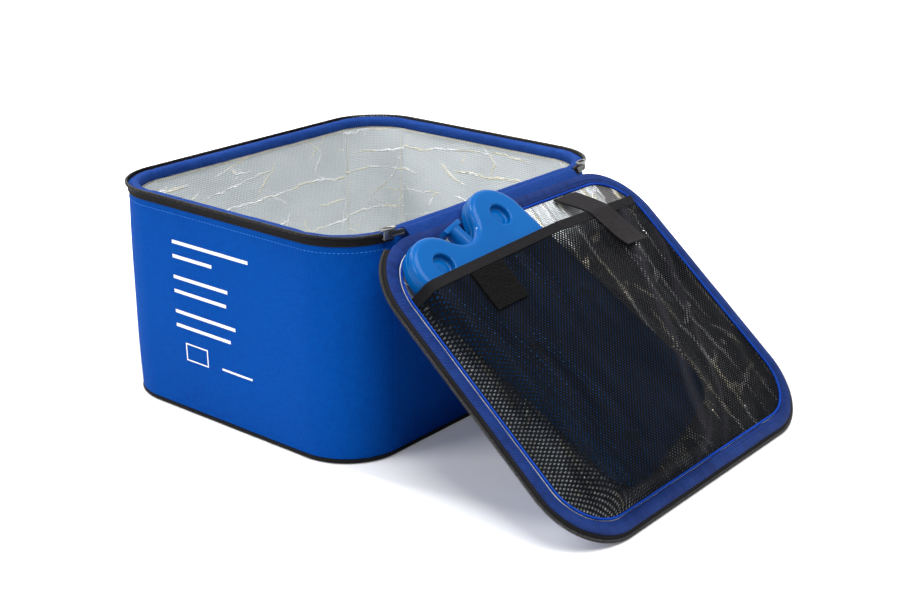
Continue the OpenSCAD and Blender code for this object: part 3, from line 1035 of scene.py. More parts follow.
class Wardrobe:
    """Every finish of the part, made once."""

    def __init__(self) -> None:
        """Make the materials."""
        self.outer = WovenCloth("royal_blue_cloth", srgb(0, 79, 166), srgb(0, 56, 137), gloss=0.03).build()
        self.facing = WovenCloth("rim_blue_cloth", srgb(32, 71, 144), srgb(13, 38, 99), pitch=0.0008,
                                 wrinkle=0.0014, wrinkle_size=60.0).build()
        self.black = WovenCloth("black_tape_cloth", srgb(30, 29, 31), srgb(13, 12, 14), pitch=0.0006,
                                relief=0.0001).build()
        self.welt = WovenCloth("black_welt_cloth", srgb(34, 33, 35), srgb(14, 13, 15), pitch=0.0008,
                               wrinkle=0.0005, wrinkle_size=90.0).build()
        self.webbing = WovenCloth("black_webbing", srgb(52, 50, 51), srgb(20, 19, 21), pitch=0.0016,
                                  relief=0.0003, rough=0.72).build()
        self.binding = RibbedBinding("blue_ribbed_binding", srgb(28, 60, 130), srgb(8, 25, 74)).build()
        self.piping = WovenCloth("bright_blue_piping", srgb(18, 72, 176), srgb(8, 40, 124), pitch=0.0007).build()
        self.thread = WovenCloth("cream_thread", srgb(240, 236, 218), srgb(206, 200, 178), pitch=0.0005).build()
        self.blue_thread = WovenCloth("light_blue_thread", srgb(70, 140, 226), srgb(30, 100, 196),
                                      pitch=0.0005).build()
        self.foil = QuiltedFoil().build()
        # The lid's foil carries patches of painted dark reflection.
        self.lid_foil = QuiltedFoil("lid_quilted_foil", metal=0.62, crease=0.0016, glint=0.16, crease_w=0.0011,
                                    gap=0.017, painted_dark_reflection=0.92).build()
        self.teeth = MouldedPlastic("black_zip_teeth", srgb(44, 42, 40), srgb(26, 25, 25), rough=0.28,
                                    gloss=0.3).build()
        self.pack = MouldedPlastic("satin_blue_plastic", srgb(0, 84, 152), srgb(0, 78, 144), rough=0.22,
                                   gloss=0.11).build()
        self.metal = MouldedPlastic("grey_slider_metal", srgb(150, 150, 148), srgb(112, 112, 110), rough=0.34,
                                    metal=0.85).build()
        self.dark_metal = MouldedPlastic("dark_pull_metal", srgb(70, 70, 70), srgb(44, 44, 45), rough=0.4,
                                         metal=0.7).build()
        self.foam = OpenCellFoam("white_foam", srgb(236, 236, 230)).build()
        self.board = MouldedPlastic("grey_board", srgb(120, 120, 122), srgb(104, 104, 106), rough=0.7).build()
        self.gel = MouldedPlastic("pale_gel", srgb(150, 190, 216), srgb(130, 176, 206), rough=0.2).build()


@dataclass(frozen=True)
class StudioSet:
    """Pale floor, soft lamps and the camera at the photograph's place."""

    camera_place: tuple[float, float, float] = (0.7787, -0.8346, 0.4757)
    yaw: float = 39.55
    pitch: float = 20.1
    lens: float = 60.47

    def lamp(self, name: str, place: tuple[float, float, float], aim: tuple[float, float, float],
             size: float, power: float) -> None:
        """Hang one soft square lamp.

        Args:
            name: Its name.
            place: Where it hangs.
            aim: The point that it shines at.
            size: Length of its side.
            power: Its power in watts.
        """
        Bench.clear()
        bpy.ops.object.light_add(type="AREA", location=place)
        lamp = bpy.context.view_layer.objects.active
        lamp.name = name
        lamp.data.shape = "SQUARE"
        lamp.data.size = size
        lamp.data.energy = power
        lamp.rotation_euler = (Vector(aim) - Vector(place)).to_track_quat("-Z", "Y").to_euler()

    def floor(self) -> None:
        """Lay the pale floor, which keeps the shadow and looks white to the camera."""
        floor = Bench.add(bpy.ops.mesh.primitive_plane_add, "studio_floor", size=6.0, location=(0, 0, 0))
        g = Graph("pale_floor")
        tree = g.tree
        g.dress(colour=(0.88, 0.88, 0.88), rough=0.9)
        glow = g.add("Emission", {"Color": (1.0, 1.0, 1.0)})
        path = g.add("LightPath")
        far = g.add("VectorMath", {0: g.place(), 1: (0.08, -0.05, 0.0)}, operation="DISTANCE").outputs["Value"]
        level = g.ramp(far, [(0.36, 0.12), (0.8, 1.0)])
        seen = g.math("MAXIMUM", path.outputs["Is Camera Ray"],
                      g.math("MAXIMUM", path.outputs["Is Glossy Ray"], path.outputs["Is Transmission Ray"]))
        g.feed(glow.inputs["Strength"], g.times(seen, level))
        both = g.add("AddShader", {0: g.shader.outputs[0], 1: glow.outputs[0]})
        tree.links.new(both.outputs[0], tree.nodes["Material Output"].inputs[0])
        floor.data.materials.append(g.material)

    def sky(self) -> None:
        """Give the world a weak even light, white where the camera looks."""
        world = bpy.data.worlds.new("studio_sky")
        bpy.context.scene.world = world
        world.use_nodes = True
        tree = world.node_tree
        ground = tree.nodes["Background"]
        path = tree.nodes.new("ShaderNodeLightPath")
        seen = path.outputs["Is Camera Ray"]
        for kind in ("Is Glossy Ray", "Is Transmission Ray"):
            either = tree.nodes.new("ShaderNodeMath")
            either.operation = "MAXIMUM"
            tree.links.new(seen, either.inputs[0])
            tree.links.new(path.outputs[kind], either.inputs[1])
            seen = either.outputs[0]
        level = tree.nodes.new("ShaderNodeMath")
        level.operation = "MULTIPLY_ADD"
        level.inputs[1].default_value = 0.88
        level.inputs[2].default_value = 0.12
        tree.links.new(seen, level.inputs[0])
        tree.links.new(level.outputs[0], ground.inputs["Strength"])
        ground.inputs["Color"].default_value = (1, 1, 1, 1)

    def build(self) -> None:
        """Set the whole studio up."""
        bpy.context.scene.view_settings.view_transform = "Standard"
        self.floor()
        self.sky()
        self.lamp("key_softbox", (-0.75, -1.55, 1.15), (0.0, 0.0, 0.08), 0.9, 20.0)
        self.lamp("top_softbox", (0.58, -0.10, 1.75), (0.04, 0.0, 0.1), 1.5, 54.0)
        self.lamp("left_fill", (-1.6, 0.3, 1.0), (0.0, 0.0, 0.1), 0.9, 4.0)
        self.lamp("spark_lamp", (-0.85, -0.3, 1.15), (0.2, 0.0, 0.1), 0.14, 8.0)
        Bench.clear()
        bpy.ops.object.camera_add(location=self.camera_place,
                                  rotation=(math.radians(90 - self.pitch), 0, math.radians(self.yaw)))
        camera = bpy.context.view_layer.objects.active
        camera.name = "photo_camera"
        camera.data.sensor_width = 36
        camera.data.lens = self.lens
        camera.data.clip_end = 50
        bpy.context.scene.camera = camera


@dataclass(frozen=True)
class SoftWalls:
    """The woven outer wall, its folded seam, the base piping and the print on the front."""

    low: float = 4.2 * MM
    high: float = 166.6 * MM
    cloth_t: float = 0.9 * MM
    bulge: float = 1.5 * MM
    seam_y: float = -95.5 * MM
    seam_w: float = 23 * MM
    piping_r: float = 1.95 * MM
    line_w: float = 2.6 * MM
    seam_tall: float = 149 * MM
    hem_z: float = 156.8 * MM
    hem_pitch: float = 3.1 * MM

    def slack(self, place: Vector) -> Vector:
        """Let the cloth swell between the corners and hang in soft waves.

        Args:
            place: A point of the stiff wall.

        Returns:
            The point on the soft wall.
        """
        along, out = BOX.measure(place)
        side = min(1.0, min(BOX.width / 2 - abs(place.x), BOX.depth / 2 - abs(place.y)) * -18 + 1.0)
        rise = (place.z - self.low) / (self.high - self.low)
        swell = self.bulge * math.sin(math.pi * rise) * max(0.0, side)
        wave = 0.55 * MM * ripple(place, 0.055) * math.sin(math.pi * min(1, 1.15 * rise))
        tuck = 0.25 * MM * ripple(Vector((place.x, place.y, place.z * 0.25)), 0.012, 4.0) * (1 - rise) ** 2
        x, y, turn = BOX.at(along, out)
        push = swell + wave + tuck
        return Vector((x + push * math.cos(turn), y + push * math.sin(turn), place.z))

    def wall(self) -> Piece:
        """Sweep the wall, let it swell and give it its thickness."""
        steps = 22
        section = [(0.0, self.low + (self.high - self.low) * i / steps) for i in range(steps + 1)]
        wall = BOX.sweep("outer_wall_cloth", section, closed=False, cell=0.007)
        Bench.move(wall, self.slack)
        Bench.finish_with(wall, "SOLIDIFY", thickness=self.cloth_t, offset=-1)
        return finished(50, wall, BOX.unroll, BOX.length)

    def seam(self) -> Piece:
        """Fold the seam strip on the hinge side, with its pressed edges and its kink at the base."""
        x = BOX.width / 2 + 0.4 * MM
        tall = self.seam_tall
        strip = Bench.grid("side_seam_cloth", 12, 36)
        with Bench.editing(strip):
            Bench.whole()
            bpy.ops.transform.resize(value=(self.seam_w, tall, 1))

        def lay(p: Vector) -> Vector:
            """Stand the strip on the wall and press its folded edges."""
            z = 4.6 * MM + p.y + tall / 2
            y = self.seam_y + p.x + 1.6 * MM * math.exp(-z / (12 * MM)) * (p.x / self.seam_w + 0.5)
            base = self.slack(Vector((BOX.width / 2, y, z)))
            fold = 0.25 * MM * math.exp(-((abs(p.x) - self.seam_w / 2 + 1.5 * MM) / (1.2 * MM)) ** 2)
            return Vector((base.x + x - BOX.width / 2 + fold + 0.12 * MM * ripple(base, 0.02, 2.0), base.y, z))

        Bench.move(strip, lay)
        return thicken(strip, 0.5 * MM, lambda p: (p.y, p.z), 45)

    def piping(self) -> Piece:
        """Run the round piping along the foot of the wall."""
        inset, height = -1.5 * MM, 2.2 * MM
        ring = [(inset + self.piping_r * math.cos(a), height + self.piping_r * math.sin(a))
                for a in (2 * math.pi * i / 14 for i in range(14))]
        cord = BOX.sweep("base_piping_welt", ring, cell=0.009)

        def pucker(p: Vector) -> Vector:
            """Make the piping a little uneven, as a sewn welt is."""
            along, out = BOX.measure(p)
            x, y, _ = BOX.at(along, out + 0.22 * MM * ripple(Vector((along, 0, 0)), 0.018, 3.0))
            return Vector((x, y, p.z + 0.12 * MM * ripple(Vector((along, 1, 0)), 0.03, 5.0)))

        Bench.move(cord, pucker)
        lay_uv(cord,
               lambda p: (BOX.measure(p)[0], math.atan2(p.z - height, BOX.measure(p)[1] - inset) * self.piping_r),
               BOX.length)
        Bench.smooth(cord, 80)
        return cord

    def stitches(self) -> Piece:
        """Sew the wall's top hem with a row of light stitches under the zip."""
        unit = Bench.stitch("wall_hem_stitches", 0.3, 1.9)
        BOX.run_along(unit, self.hem_pitch, 0.0, BOX.length - 1 * MM, 0.0, self.hem_z)

        def seat(p: Vector) -> Vector:
            """Seat a stitch on the swelling cloth."""
            along, out = BOX.measure(p)
            x, y, _ = BOX.at(along, 0.0)
            base = self.slack(Vector((x, y, p.z)))
            return base + Vector((p.x - x, p.y - y, 0))

        Bench.move(unit, seat)
        return finished(40, unit, BOX.unroll)

    def front_strip(self, name: str, x0: float, x1: float, z0: float, z1: float) -> Piece:
        """Lay a thin printed bar on the front panel, between two places.

        Args:
            name: Name of the new object.
            x0: Its left end.
            x1: Its right end.
            z0: Its lower edge.
            z1: Its upper edge.

        Returns:
            The bar, without thickness.
        """
        bar = Bench.grid(name, 14, 2)

        def lay(p: Vector) -> Vector:
            """Put a point of the bar on the swelling cloth."""
            x = x0 + (p.x + 0.5) * (x1 - x0)
            z = z0 + (p.y + 0.5) * (z1 - z0)
            place = self.slack(Vector((x, -BOX.depth / 2, z)))
            return Vector((place.x, place.y - 0.18 * MM, place.z))

        Bench.move(bar, lay)
        return bar

    def print_block(self) -> Piece:
        """Print plain white rules and an empty frame, where such a box is written on."""
        rules = [(-50, 30, 137), (-50, -8, 126), (-50, 8, 110), (-50, 6, 99), (-50, 15, 83), (-50, 9, 72)]
        bars = [self.front_strip("rule", a * MM, b * MM, z * MM - self.line_w, z * MM) for a, b, z in rules]
        left, right, low, high = -41 * MM, -17 * MM, 44 * MM, 58 * MM
        edge = 1.0 * MM
        bars += [self.front_strip("frame", left, right, high - edge, high),
                 self.front_strip("frame", left, right, low, low + edge),
                 self.front_strip("frame", left, left + edge, low + edge, high - edge),
                 self.front_strip("frame", right - edge, right, low + edge, high - edge),
                 self.front_strip("rule", -2 * MM, 30 * MM, 46 * MM, 46 * MM + 1.6 * MM)]
        block = Bench.join("front_print_rules", bars)
        Bench.finish_with(block, "SOLIDIFY", thickness=0.1 * MM, offset=0)
        lay_uv(block, lambda p: (p.x, p.z))
        Bench.close_up(block)
        return block

    def print_ink(self) -> Material:
        """White screen ink, thin where it lies over the threads."""
        g = Graph("white_screen_ink")
        place = g.place()
        thin = g.noise(place, 1400.0, 2.0)
        patchy = g.noise(place, 130.0, 3.0)
        share = g.fade(g.times_plus(thin, 0.6, g.times(patchy, 0.4)), 0.3, 0.5)
        colour = g.mix(share, srgb(176, 200, 230), srgb(244, 245, 247))
        return g.dress(colour=colour, rough=0.6, normal=g.bump(thin, 0.00008, 0.6))

    def build(self, kit: Wardrobe) -> None:
        """Make and dress the walls.

        Args:
            kit: The finishes.
        """
        hand_over(self.wall(), kit.outer, Body.BOX, ["outer_wall"])
        hand_over(self.seam(), kit.outer, Body.BOX, ["side_seam_strip"])
        hand_over(self.piping(), kit.welt, Body.BOX, ["base_piping"])
        hand_over(self.print_block(), self.print_ink(), Body.BOX)
        hand_over(self.stitches(), kit.blue_thread, Body.BOX)


@dataclass(frozen=True)
class FoilInside:
    """The foil lining of the walls, the strips over its corners and the blue facing on the rim."""

    inset: float = 6.8 * MM
    floor_z: float = 9.9 * MM
    lining_top: float = 164.5 * MM
    facing_low: float = 159.8 * MM
    column_pitch: float = 2.7 * MM
    rim_pitch: float = 1.9 * MM
    rim_out: float = -8.0 * MM
    rim_z: float = 159.6 * MM

    def lining(self) -> Piece:
        """Sweep the lining and let it billow inwards."""
        steps = 26
        section = [(-self.inset, self.floor_z - 0.5 * MM + (self.lining_top - self.floor_z) * i / steps)
                   for i in range(steps + 1)]
        lining = BOX.sweep("wall_foil_lining", section, closed=False, cell=0.006)

        def billow(p: Vector) -> Vector:
            """Push a point inwards by the slack of the foil."""
            along, out = BOX.measure(p)
            way = Vector((along, 0, p.z))
            slack = 0.9 * MM * (1 + ripple(way, 0.045)) + 0.45 * MM * ripple(way, 0.016, 2.0)
            fade = math.sin(math.pi * min(1, max(0, (p.z - self.floor_z) / (self.facing_low - self.floor_z)))) ** 0.6
            x, y, _ = BOX.at(along, out - slack * fade)
            return Vector((x, y, p.z))

        Bench.move(lining, billow)
        Bench.finish_with(lining, "SOLIDIFY", thickness=0.4 * MM, offset=1)
        return finished(60, lining, BOX.unroll, BOX.length)

    def corner_strip(self, index: int) -> Piece:
        """Lay the folded foil strip over one upright corner, from the floor to the facing.

        Args:
            index: 0 at the back of the hinge side, then anticlockwise.

        Returns:
            The strip.
        """
        facing = index * math.pi / 2
        sx = 1 if index in (0, 3) else -1
        sy = 1 if index < 2 else -1
        reach = BOX.radius - self.inset - 2.0 * MM
        start = (sx * BOX.corner_x + reach * math.cos(facing), sy * BOX.corner_y + reach * math.sin(facing))
        steps = 24
        points = [(*start, self.floor_z + 0.3 * MM + (self.facing_low - 0.6 * MM - self.floor_z) * i / steps)
                  for i in range(steps + 1)]
        strip = Bench.draw(f"corner_foil_strip_{index + 1}", points)
        with Bench.editing(strip):
            Bench.whole("EDGE")
            bpy.ops.mesh.spin(steps=14, angle=-math.pi / 2, dupli=False, axis=(0, 0, 1),
                              center=(sx * BOX.corner_x, sy * BOX.corner_y, 0))
        centre = Vector((sx * BOX.corner_x, sy * BOX.corner_y, 0))

        def settle(p: Vector) -> Vector:
            """Press the two stitched edges down and let the middle stand off."""
            flat = Vector((p.x, p.y, 0)) - centre
            turn = (math.atan2(flat.y, flat.x) - facing) % (2 * math.pi)
            edge = min(turn, math.pi / 2 - turn) * reach
            press = math.exp(-max(0.0, edge) / (2.5 * MM))
            wave = 0.4 * MM * ripple(p, 0.02, 7.0 + index)
            new = centre + flat.normalized() * (flat.length + 1.9 * MM * press - 0.7 * MM * (1 - press) - wave * 0.5)
            return Vector((new.x, new.y, p.z))

        Bench.move(strip, settle)
        return thicken(strip, 0.5 * MM, lambda p: (BOX.measure(p)[0] + 0.5, p.z * 1.1 + 0.3))

    def strip_stitches(self) -> Piece:
        """Sew both edges of every corner strip down with a column of stitches."""
        columns = []
        reach = BOX.radius - self.inset - 2.2 * MM
        tall = self.facing_low - self.floor_z - 8 * MM
        for sx in (-1, 1):
            for sy in (-1, 1):
                for turn in (0.075, math.pi / 2 - 0.075):
                    place = (sx * (BOX.corner_x + reach * math.cos(turn)),
                             sy * (BOX.corner_y + reach * math.sin(turn)), self.floor_z + 4 * MM)
                    column = Bench.stitch("column", 0.32, 1.7, 0.0, place)
                    Bench.row(column, (0, 0, self.column_pitch), int(tall / self.column_pitch))
                    columns.append(column)
        rows = Bench.join("corner_strip_stitches", columns)
        return finished(40, rows, lambda p: (p.x, p.z))

    def facing(self) -> Piece:
        """Fold the blue facing over the rim and down inside, with its tucks at the corners."""
        section = [(-0.95, 163.0), (-0.9, 166.4), (-1.3, 167.5), (-2.2, 168.1), (-3.6, 168.35), (-5.2, 168.3),
                   (-6.6, 167.9), (-7.6, 167.0), (-8.2, 165.6), (-8.45, 163.8), (-8.3, 162.0), (-8.0, 160.6),
                   (-7.5, 160.0), (-6.9, 160.3)]
        band = BOX.sweep("rim_facing_cloth", in_mm(section), closed=False, cell=0.004,
                         corner_steps=26)
        joints = [BOX.measure(Vector((sx * (BOX.corner_x if t else BOX.width / 2),
                                      sy * (BOX.depth / 2 if t else BOX.corner_y), 0)))[0]
                  for sx in (-1, 1) for sy in (-1, 1) for t in (0, 1)]

        def tuck(p: Vector) -> Vector:
            """Pucker the band, pinch it where the corners begin and keep its top under the lid."""
            along, out = BOX.measure(p)
            inner = min(1.0, max(0.0, -out / MM - 2) / 6)
            near = min(abs((along - j + BOX.length / 2) % BOX.length - BOX.length / 2) for j in joints)
            pinch = math.exp(-(near / (4 * MM)) ** 2)
            way = Vector((along, 0, p.z * 0.6))
            wave = 0.55 * MM * ripple(way, 0.014, 1.0) + 0.25 * MM * ripple(way, 0.006, 2.0)
            x, y, _ = BOX.at(along, out + inner * (wave + 0.8 * MM * pinch))
            top = 0.35 * MM * pinch + 0.15 * MM * (1 + ripple(way, 0.02, 3.0))
            return Vector((x, y, p.z - (top if p.z > 166 * MM else 0.3 * MM * ripple(way, 0.03, 4.0) * inner)))

        Bench.move(band, tuck)
        Bench.finish_with(band, "SOLIDIFY", thickness=0.45 * MM, offset=-1)
        return finished(60, band, lambda p: (BOX.measure(p)[0], p.z - BOX.measure(p)[1]), BOX.length)

    def stitches(self) -> Piece:
        """Sew the facing's lower edge down with a close row of upright stitches."""
        unit = Bench.stitch("rim_stitches", 0.36, 2.0, 0.35)
        BOX.run_along(unit, self.rim_pitch, 0.0, BOX.length - 1 * MM, self.rim_out, self.rim_z)
        return finished(40, unit, BOX.unroll)

    def build(self, kit: Wardrobe) -> None:
        """Make and dress the inside.

        Args:
            kit: The finishes.
        """
        hand_over(self.lining(), kit.foil, Body.BOX, ["wall_lining"])
        for index in range(4):
            hand_over(self.corner_strip(index), kit.foil, Body.BOX, [f"lining_strip_{index + 1}"])
        hand_over(self.facing(), kit.facing, Body.BOX, ["rim_facing"])
        hand_over(self.stitches(), kit.thread, Body.BOX)
        hand_over(self.strip_stitches(), kit.thread, Body.BOX)


class ZipMaker:
    """The coil teeth of one half of the zip, with the cord inside them."""

    PITCH = 1.3 * MM

    @staticmethod
    def tooth(name: str) -> Piece:
        """Model one turn of the coil as a rounded slanting loop.

        Args:
            name: Name of the new object.

        Returns:
            The tooth.
        """
        unit = Bench.add(bpy.ops.mesh.primitive_cylinder_add, name, vertices=8, radius=0.5 * MM, depth=2.0 * MM)
        with Bench.editing(unit):
            Bench.whole()
            bpy.ops.transform.resize(value=(0.9, 2.1, 1.0))
            Bench.pick(unit, "FACE", lambda f: abs(f.normal.z) > 0.9)
            bpy.ops.mesh.inset(thickness=0.18 * MM, depth=0.16 * MM)
            Bench.pick(unit, "VERT", lambda v: v.co.z > 0.4 * MM)
            bpy.ops.transform.translate(value=(0.28 * MM, 0, 0))
        return unit

    @staticmethod
    def build(name: str, ring: Outline, body: Body, kit: Wardrobe, place: Matrix, start: float, end: float,
              out: float, up: float, nodes: Sequence[str]) -> None:
        """Run the teeth and their cord along a ring.

        Args:
            name: Start of the pieces' names.
            ring: The outline that the tape follows.
            body: The body that it rides on.
            kit: The finishes.
            place: Moves the ring to its place.
            start: Where the row starts.
            end: Where it ends.
            out: Distance of the teeth out of the ring.
            up: Their height.
            nodes: The CAD nodes that the teeth replace.
        """
        teeth = ZipMaker.tooth(name + "_coil")
        ring.run_along(teeth, ZipMaker.PITCH, start, end, out, up)
        core = ring.run_core(name + "_coil_cord", start, end, out, up)
        whole = Bench.join(name + "_coil", [teeth, core])
        lay_uv(whole, ring.measure)
        Bench.place(whole, place)
        Bench.smooth(whole, 50)
        hand_over(whole, kit.teeth, body, nodes)


@dataclass(frozen=True)
class BoxZip:
    """The zip's half on the box: the tape outside the rim, its teeth and its stitch line."""

    low: float = 161.2 * MM
    high: float = 167.4 * MM
    teeth_out: float = 1.75 * MM
    teeth_up: float = 168.1 * MM
    stitch_pitch: float = 2.7 * MM
    stitch_out: float = 1.0 * MM
    stitch_z: float = 162.4 * MM

    def tape(self) -> Piece:
        """Sweep the tape round the three sides and both hinge corners."""
        section = [(0.25, self.low / MM), (0.75, self.low / MM + 0.15), (0.95, 162.6), (1.1, 164.8), (1.75, 166.6),
                   (1.6, self.high / MM), (0.35, 166.9), (0.3, 163.0)]
        tape = BOX.sweep("box_zip_tape_cloth", in_mm(section), hinge_side=False, cell=0.006)
        lay_uv(tape, BOX.unroll, BOX.length)
        with Bench.editing(tape):
            Bench.pick(tape, "EDGE", lambda e: e.is_boundary)
            bpy.ops.mesh.edge_face_add()
        Bench.smooth(tape, 60)
        return tape

    def stitches(self) -> Piece:
        """Sew the tape's lower edge to the wall."""
        unit = Bench.stitch("box_zip_stitches", 0.2, 1.9)
        BOX.run_along(unit, self.stitch_pitch, 2 * BOX.corner_y, BOX.length, self.stitch_out, self.stitch_z)
        return finished(40, unit, BOX.unroll)

    def build(self, kit: Wardrobe) -> None:
        """Make and dress the box's half of the zip.

        Args:
            kit: The finishes.
        """
        hand_over(self.tape(), kit.black, Body.BOX, ["body_zip_tape"])
        hand_over(self.stitches(), kit.webbing, Body.BOX)
        ZipMaker.build("box_zip", BOX, Body.BOX, kit, Matrix.Identity(4), 2 * BOX.corner_y, BOX.length,
                       self.teeth_out, self.teeth_up, ["body_zip_chain"])


@dataclass(frozen=True)
class HiddenLayers:
    """The CAD solids that stay: base fabric, boards, foam and the floor of the lining."""

    def build(self, kit: Wardrobe) -> None:
        """Give each solid that stays its material.

        Args:
            kit: The finishes.
        """
        finishes = {"wall_foam": kit.foam, "base_foam": kit.foam, "lid_foam": kit.foam, "base_board": kit.board,
                    "lid_board": kit.board, "pack_gel": kit.gel, "base_fabric": BaseCloth().build(),
                    "base_lining": FloorFoil().build()}
        for name, material in finishes.items():
            Bench.paint(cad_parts[name], material)


@dataclass(frozen=True)
class BaseCloth:
    """Coated black cloth under the base, in a plain weave seen from below."""

    def build(self) -> Material:
        """Make the material."""
        g = Graph("black_base_cloth")
        place = g.place()
        x, y = g.split(place)
        weave = g.times(g.wave("SINE", x, 5200.0),
                       g.wave("SINE", y, 5200.0))
        dust = g.noise(place, 24.0, 4.0, 0.6)
        colour = g.mix(g.fade(dust, 0.45, 0.8), srgb(22, 22, 24), srgb(52, 51, 50))
        return g.dress(colour=colour, rough=0.75, normal=g.bump(weave, 0.0002, 0.7))


@dataclass(frozen=True)
class FloorFoil:
    """The same foil on the floor of the box, with its grid along the floor."""

    def build(self) -> Material:
        """Make the material."""
        g = Graph("floor_foil")
        place = g.place()
        x, y = g.split(place)
        step = 1850.0
        grid = g.times(g.wave("SINE", g.math("ADD", x, y), step),
                      g.wave("SINE", g.math("SUBTRACT", x, y), step))
        crease = g.ramp(g.cells(g.add("VectorMath", {0: place, 1: g.noise(place, 30.0)}, operation="ADD").outputs[0],
                                30.0), [(0.0, 1.0), (0.12, 0.1), (0.4, 0.0)])
        # Painted glint: the crease lines are coloured near white, as where they catch the light.
        colour = g.mix(crease, srgb(206, 208, 210), srgb(248, 247, 244))
        return g.dress(colour=colour, rough=0.34, metal=0.85,
                       normal=g.bump(grid, 0.0003, 0.8, g.bump(crease, 0.001, 1.0)))


@dataclass(frozen=True)
class LidPanel:
    """The lid's cover, foil lining, ribbed binding, thin piping and its half of the zip."""

    zip_late: float = 24.6 * MM
    zip_out: float = 3.8 * MM
    zip_n: float = -3.0 * MM
    stitch_pitch: float = 2.5 * MM
    stitch_out: float = -5.6 * MM
    stitch_n: float = 1.2 * MM

    def plate(self, name: str, section: Section, cell: float = 0.012) -> Piece:
        """Sweep a section round the lid and close its open middle.

        Args:
            name: Name of the new object.
            section: Distances out of the lid's edge and heights, from the middle outwards.
            cell: Length of a face on the straight sides.

        Returns:
            The plate, in its ring's own frame.
        """
        plate = LID_EDGE.sweep(name, section, closed=False, cell=cell)
        inner = section[0][1]
        with Bench.editing(plate):
            Bench.pick(plate, "EDGE", lambda e: e.is_boundary and all(
                abs(v.co.z - inner) < 1e-5 and abs(LID_EDGE.measure(v.co)[1] - section[0][0]) < 2e-3 for v in e.verts))
            bpy.ops.mesh.edge_face_add()
            Bench.outwards()
        return plate

    def cover(self) -> Piece:
        """Make the outer cover, a shallow soft tray."""
        section = [(-40, -7.62), (-28, -7.62), (-18, -7.58), (-9, -7.55), (-4.5, -7.5), (-2.2, -7.1), (-0.9, -6.2),
                   (-0.1, -4.6), (0.15, -2.8), (0.0, -1.2), (-0.5, -0.4)]
        cover = self.plate("lid_cover_cloth", in_mm(section))

        def soften(p: Vector) -> Vector:
            """Let the cloth lie a little uneven over the foam."""
            out = LID_EDGE.measure(p)[1]
            if out < -41 * MM:
                return p
            return p + Vector((0, 0, 0.3 * MM * ripple(p, 0.05) * (1 if p.z < -7 * MM else 0)))

        Bench.move(cover, soften)
        return finished(60, cover, lambda p: (p.x, p.y - p.z))

    def lining(self) -> Piece:
        """Make the foil lining of the lid."""
        section = [(-40, 0.5), (-30, 0.55), (-22, 0.6), (-16, 0.5), (-12.5, 0.4), (-10.6, 0.2)]
        lining = self.plate("lid_foil_lining", in_mm(section))
        return finished(60, lining, lambda p: (p.x + 0.4, p.y + 0.2))

    def binding(self) -> Piece:
        """Fold the ribbed binding over the lid's edge."""
        section = [(-0.2, -2.0), (0.6, -1.7), (0.95, -0.8), (0.85, 0.1), (0.3, 0.85), (-0.9, 1.35), (-2.6, 1.55),
                   (-4.4, 1.5), (-6.0, 1.2), (-7.4, 0.75), (-8.5, 0.2), (-9.0, -0.2), (-6.0, -0.4), (-2.0, -0.7)]
        binding = LID_EDGE.sweep("lid_ribbed_binding", in_mm(section), cell=0.005,
                                 corner_steps=26)

        def pucker(p: Vector) -> Vector:
            """Pucker the binding a little, most of all round the corners."""
            along, out = LID_EDGE.measure(p)
            way = Vector((along, 0, 0))
            x, y, _ = LID_EDGE.at(along, out + 0.3 * MM * ripple(way, 0.02))
            return Vector((x, y, p.z - (0.25 * MM * (1 + ripple(way, 0.011, 2.0)) if p.z > 1 * MM else 0)))

        Bench.move(binding, pucker)
        return finished(70, binding, lambda p: (LID_EDGE.measure(p)[0], LID_EDGE.measure(p)[1] - p.z), LID_EDGE.length)

    def piping(self) -> Piece:
        """Run the thin bright piping inside the binding."""
        ring = [((-10.0 + 0.9 * math.cos(a)) * MM, (0.9 + 0.9 * math.sin(a)) * MM)
                for a in (2 * math.pi * i / 10 for i in range(10))]
        cord = LID_EDGE.sweep("lid_thin_piping", ring, cell=0.008, corner_steps=22)
        return finished(80, cord, LID_EDGE.unroll, LID_EDGE.length)

    def tape(self) -> Piece:
        """Sweep the lid's zip tape and trim it beside the hinge."""
        section = [(-0.6, -1.9), (0.9, -0.3), (1.25, -0.45), (2.4, -1.6), (3.6, -2.8), (3.5, -3.3), (3.0, -3.2),
                   (1.6, -2.0), (-0.5, -2.4)]
        ring = LID_EDGE
        tape = ring.sweep("lid_zip_tape_cloth", in_mm(section), hinge_side=False, cell=0.006,
                          corner_steps=30)
        limit = ring.corner_y + ring.radius * math.sin(self.zip_late / ring.radius) - 1 * MM
        with Bench.editing(tape):
            Bench.pick(tape, "FACE", lambda f: f.calc_center_median().x > 0 and abs(f.calc_center_median().y) < limit)
            bpy.ops.mesh.delete(type="FACE")
            Bench.pick(tape, "EDGE", lambda e: e.is_boundary)
            bpy.ops.mesh.edge_face_add()
        return finished(60, tape, ring.measure, ring.length)

    def stitches(self) -> Piece:
        """Sew the binding down beside the piping."""
        unit = Bench.stitch("lid_binding_stitches", 0.17, 1.7)
        LID_EDGE.run_along(unit, self.stitch_pitch, 0.0, LID_EDGE.length - 1 * MM, self.stitch_out, self.stitch_n)
        return finished(40, unit, LID_EDGE.measure)

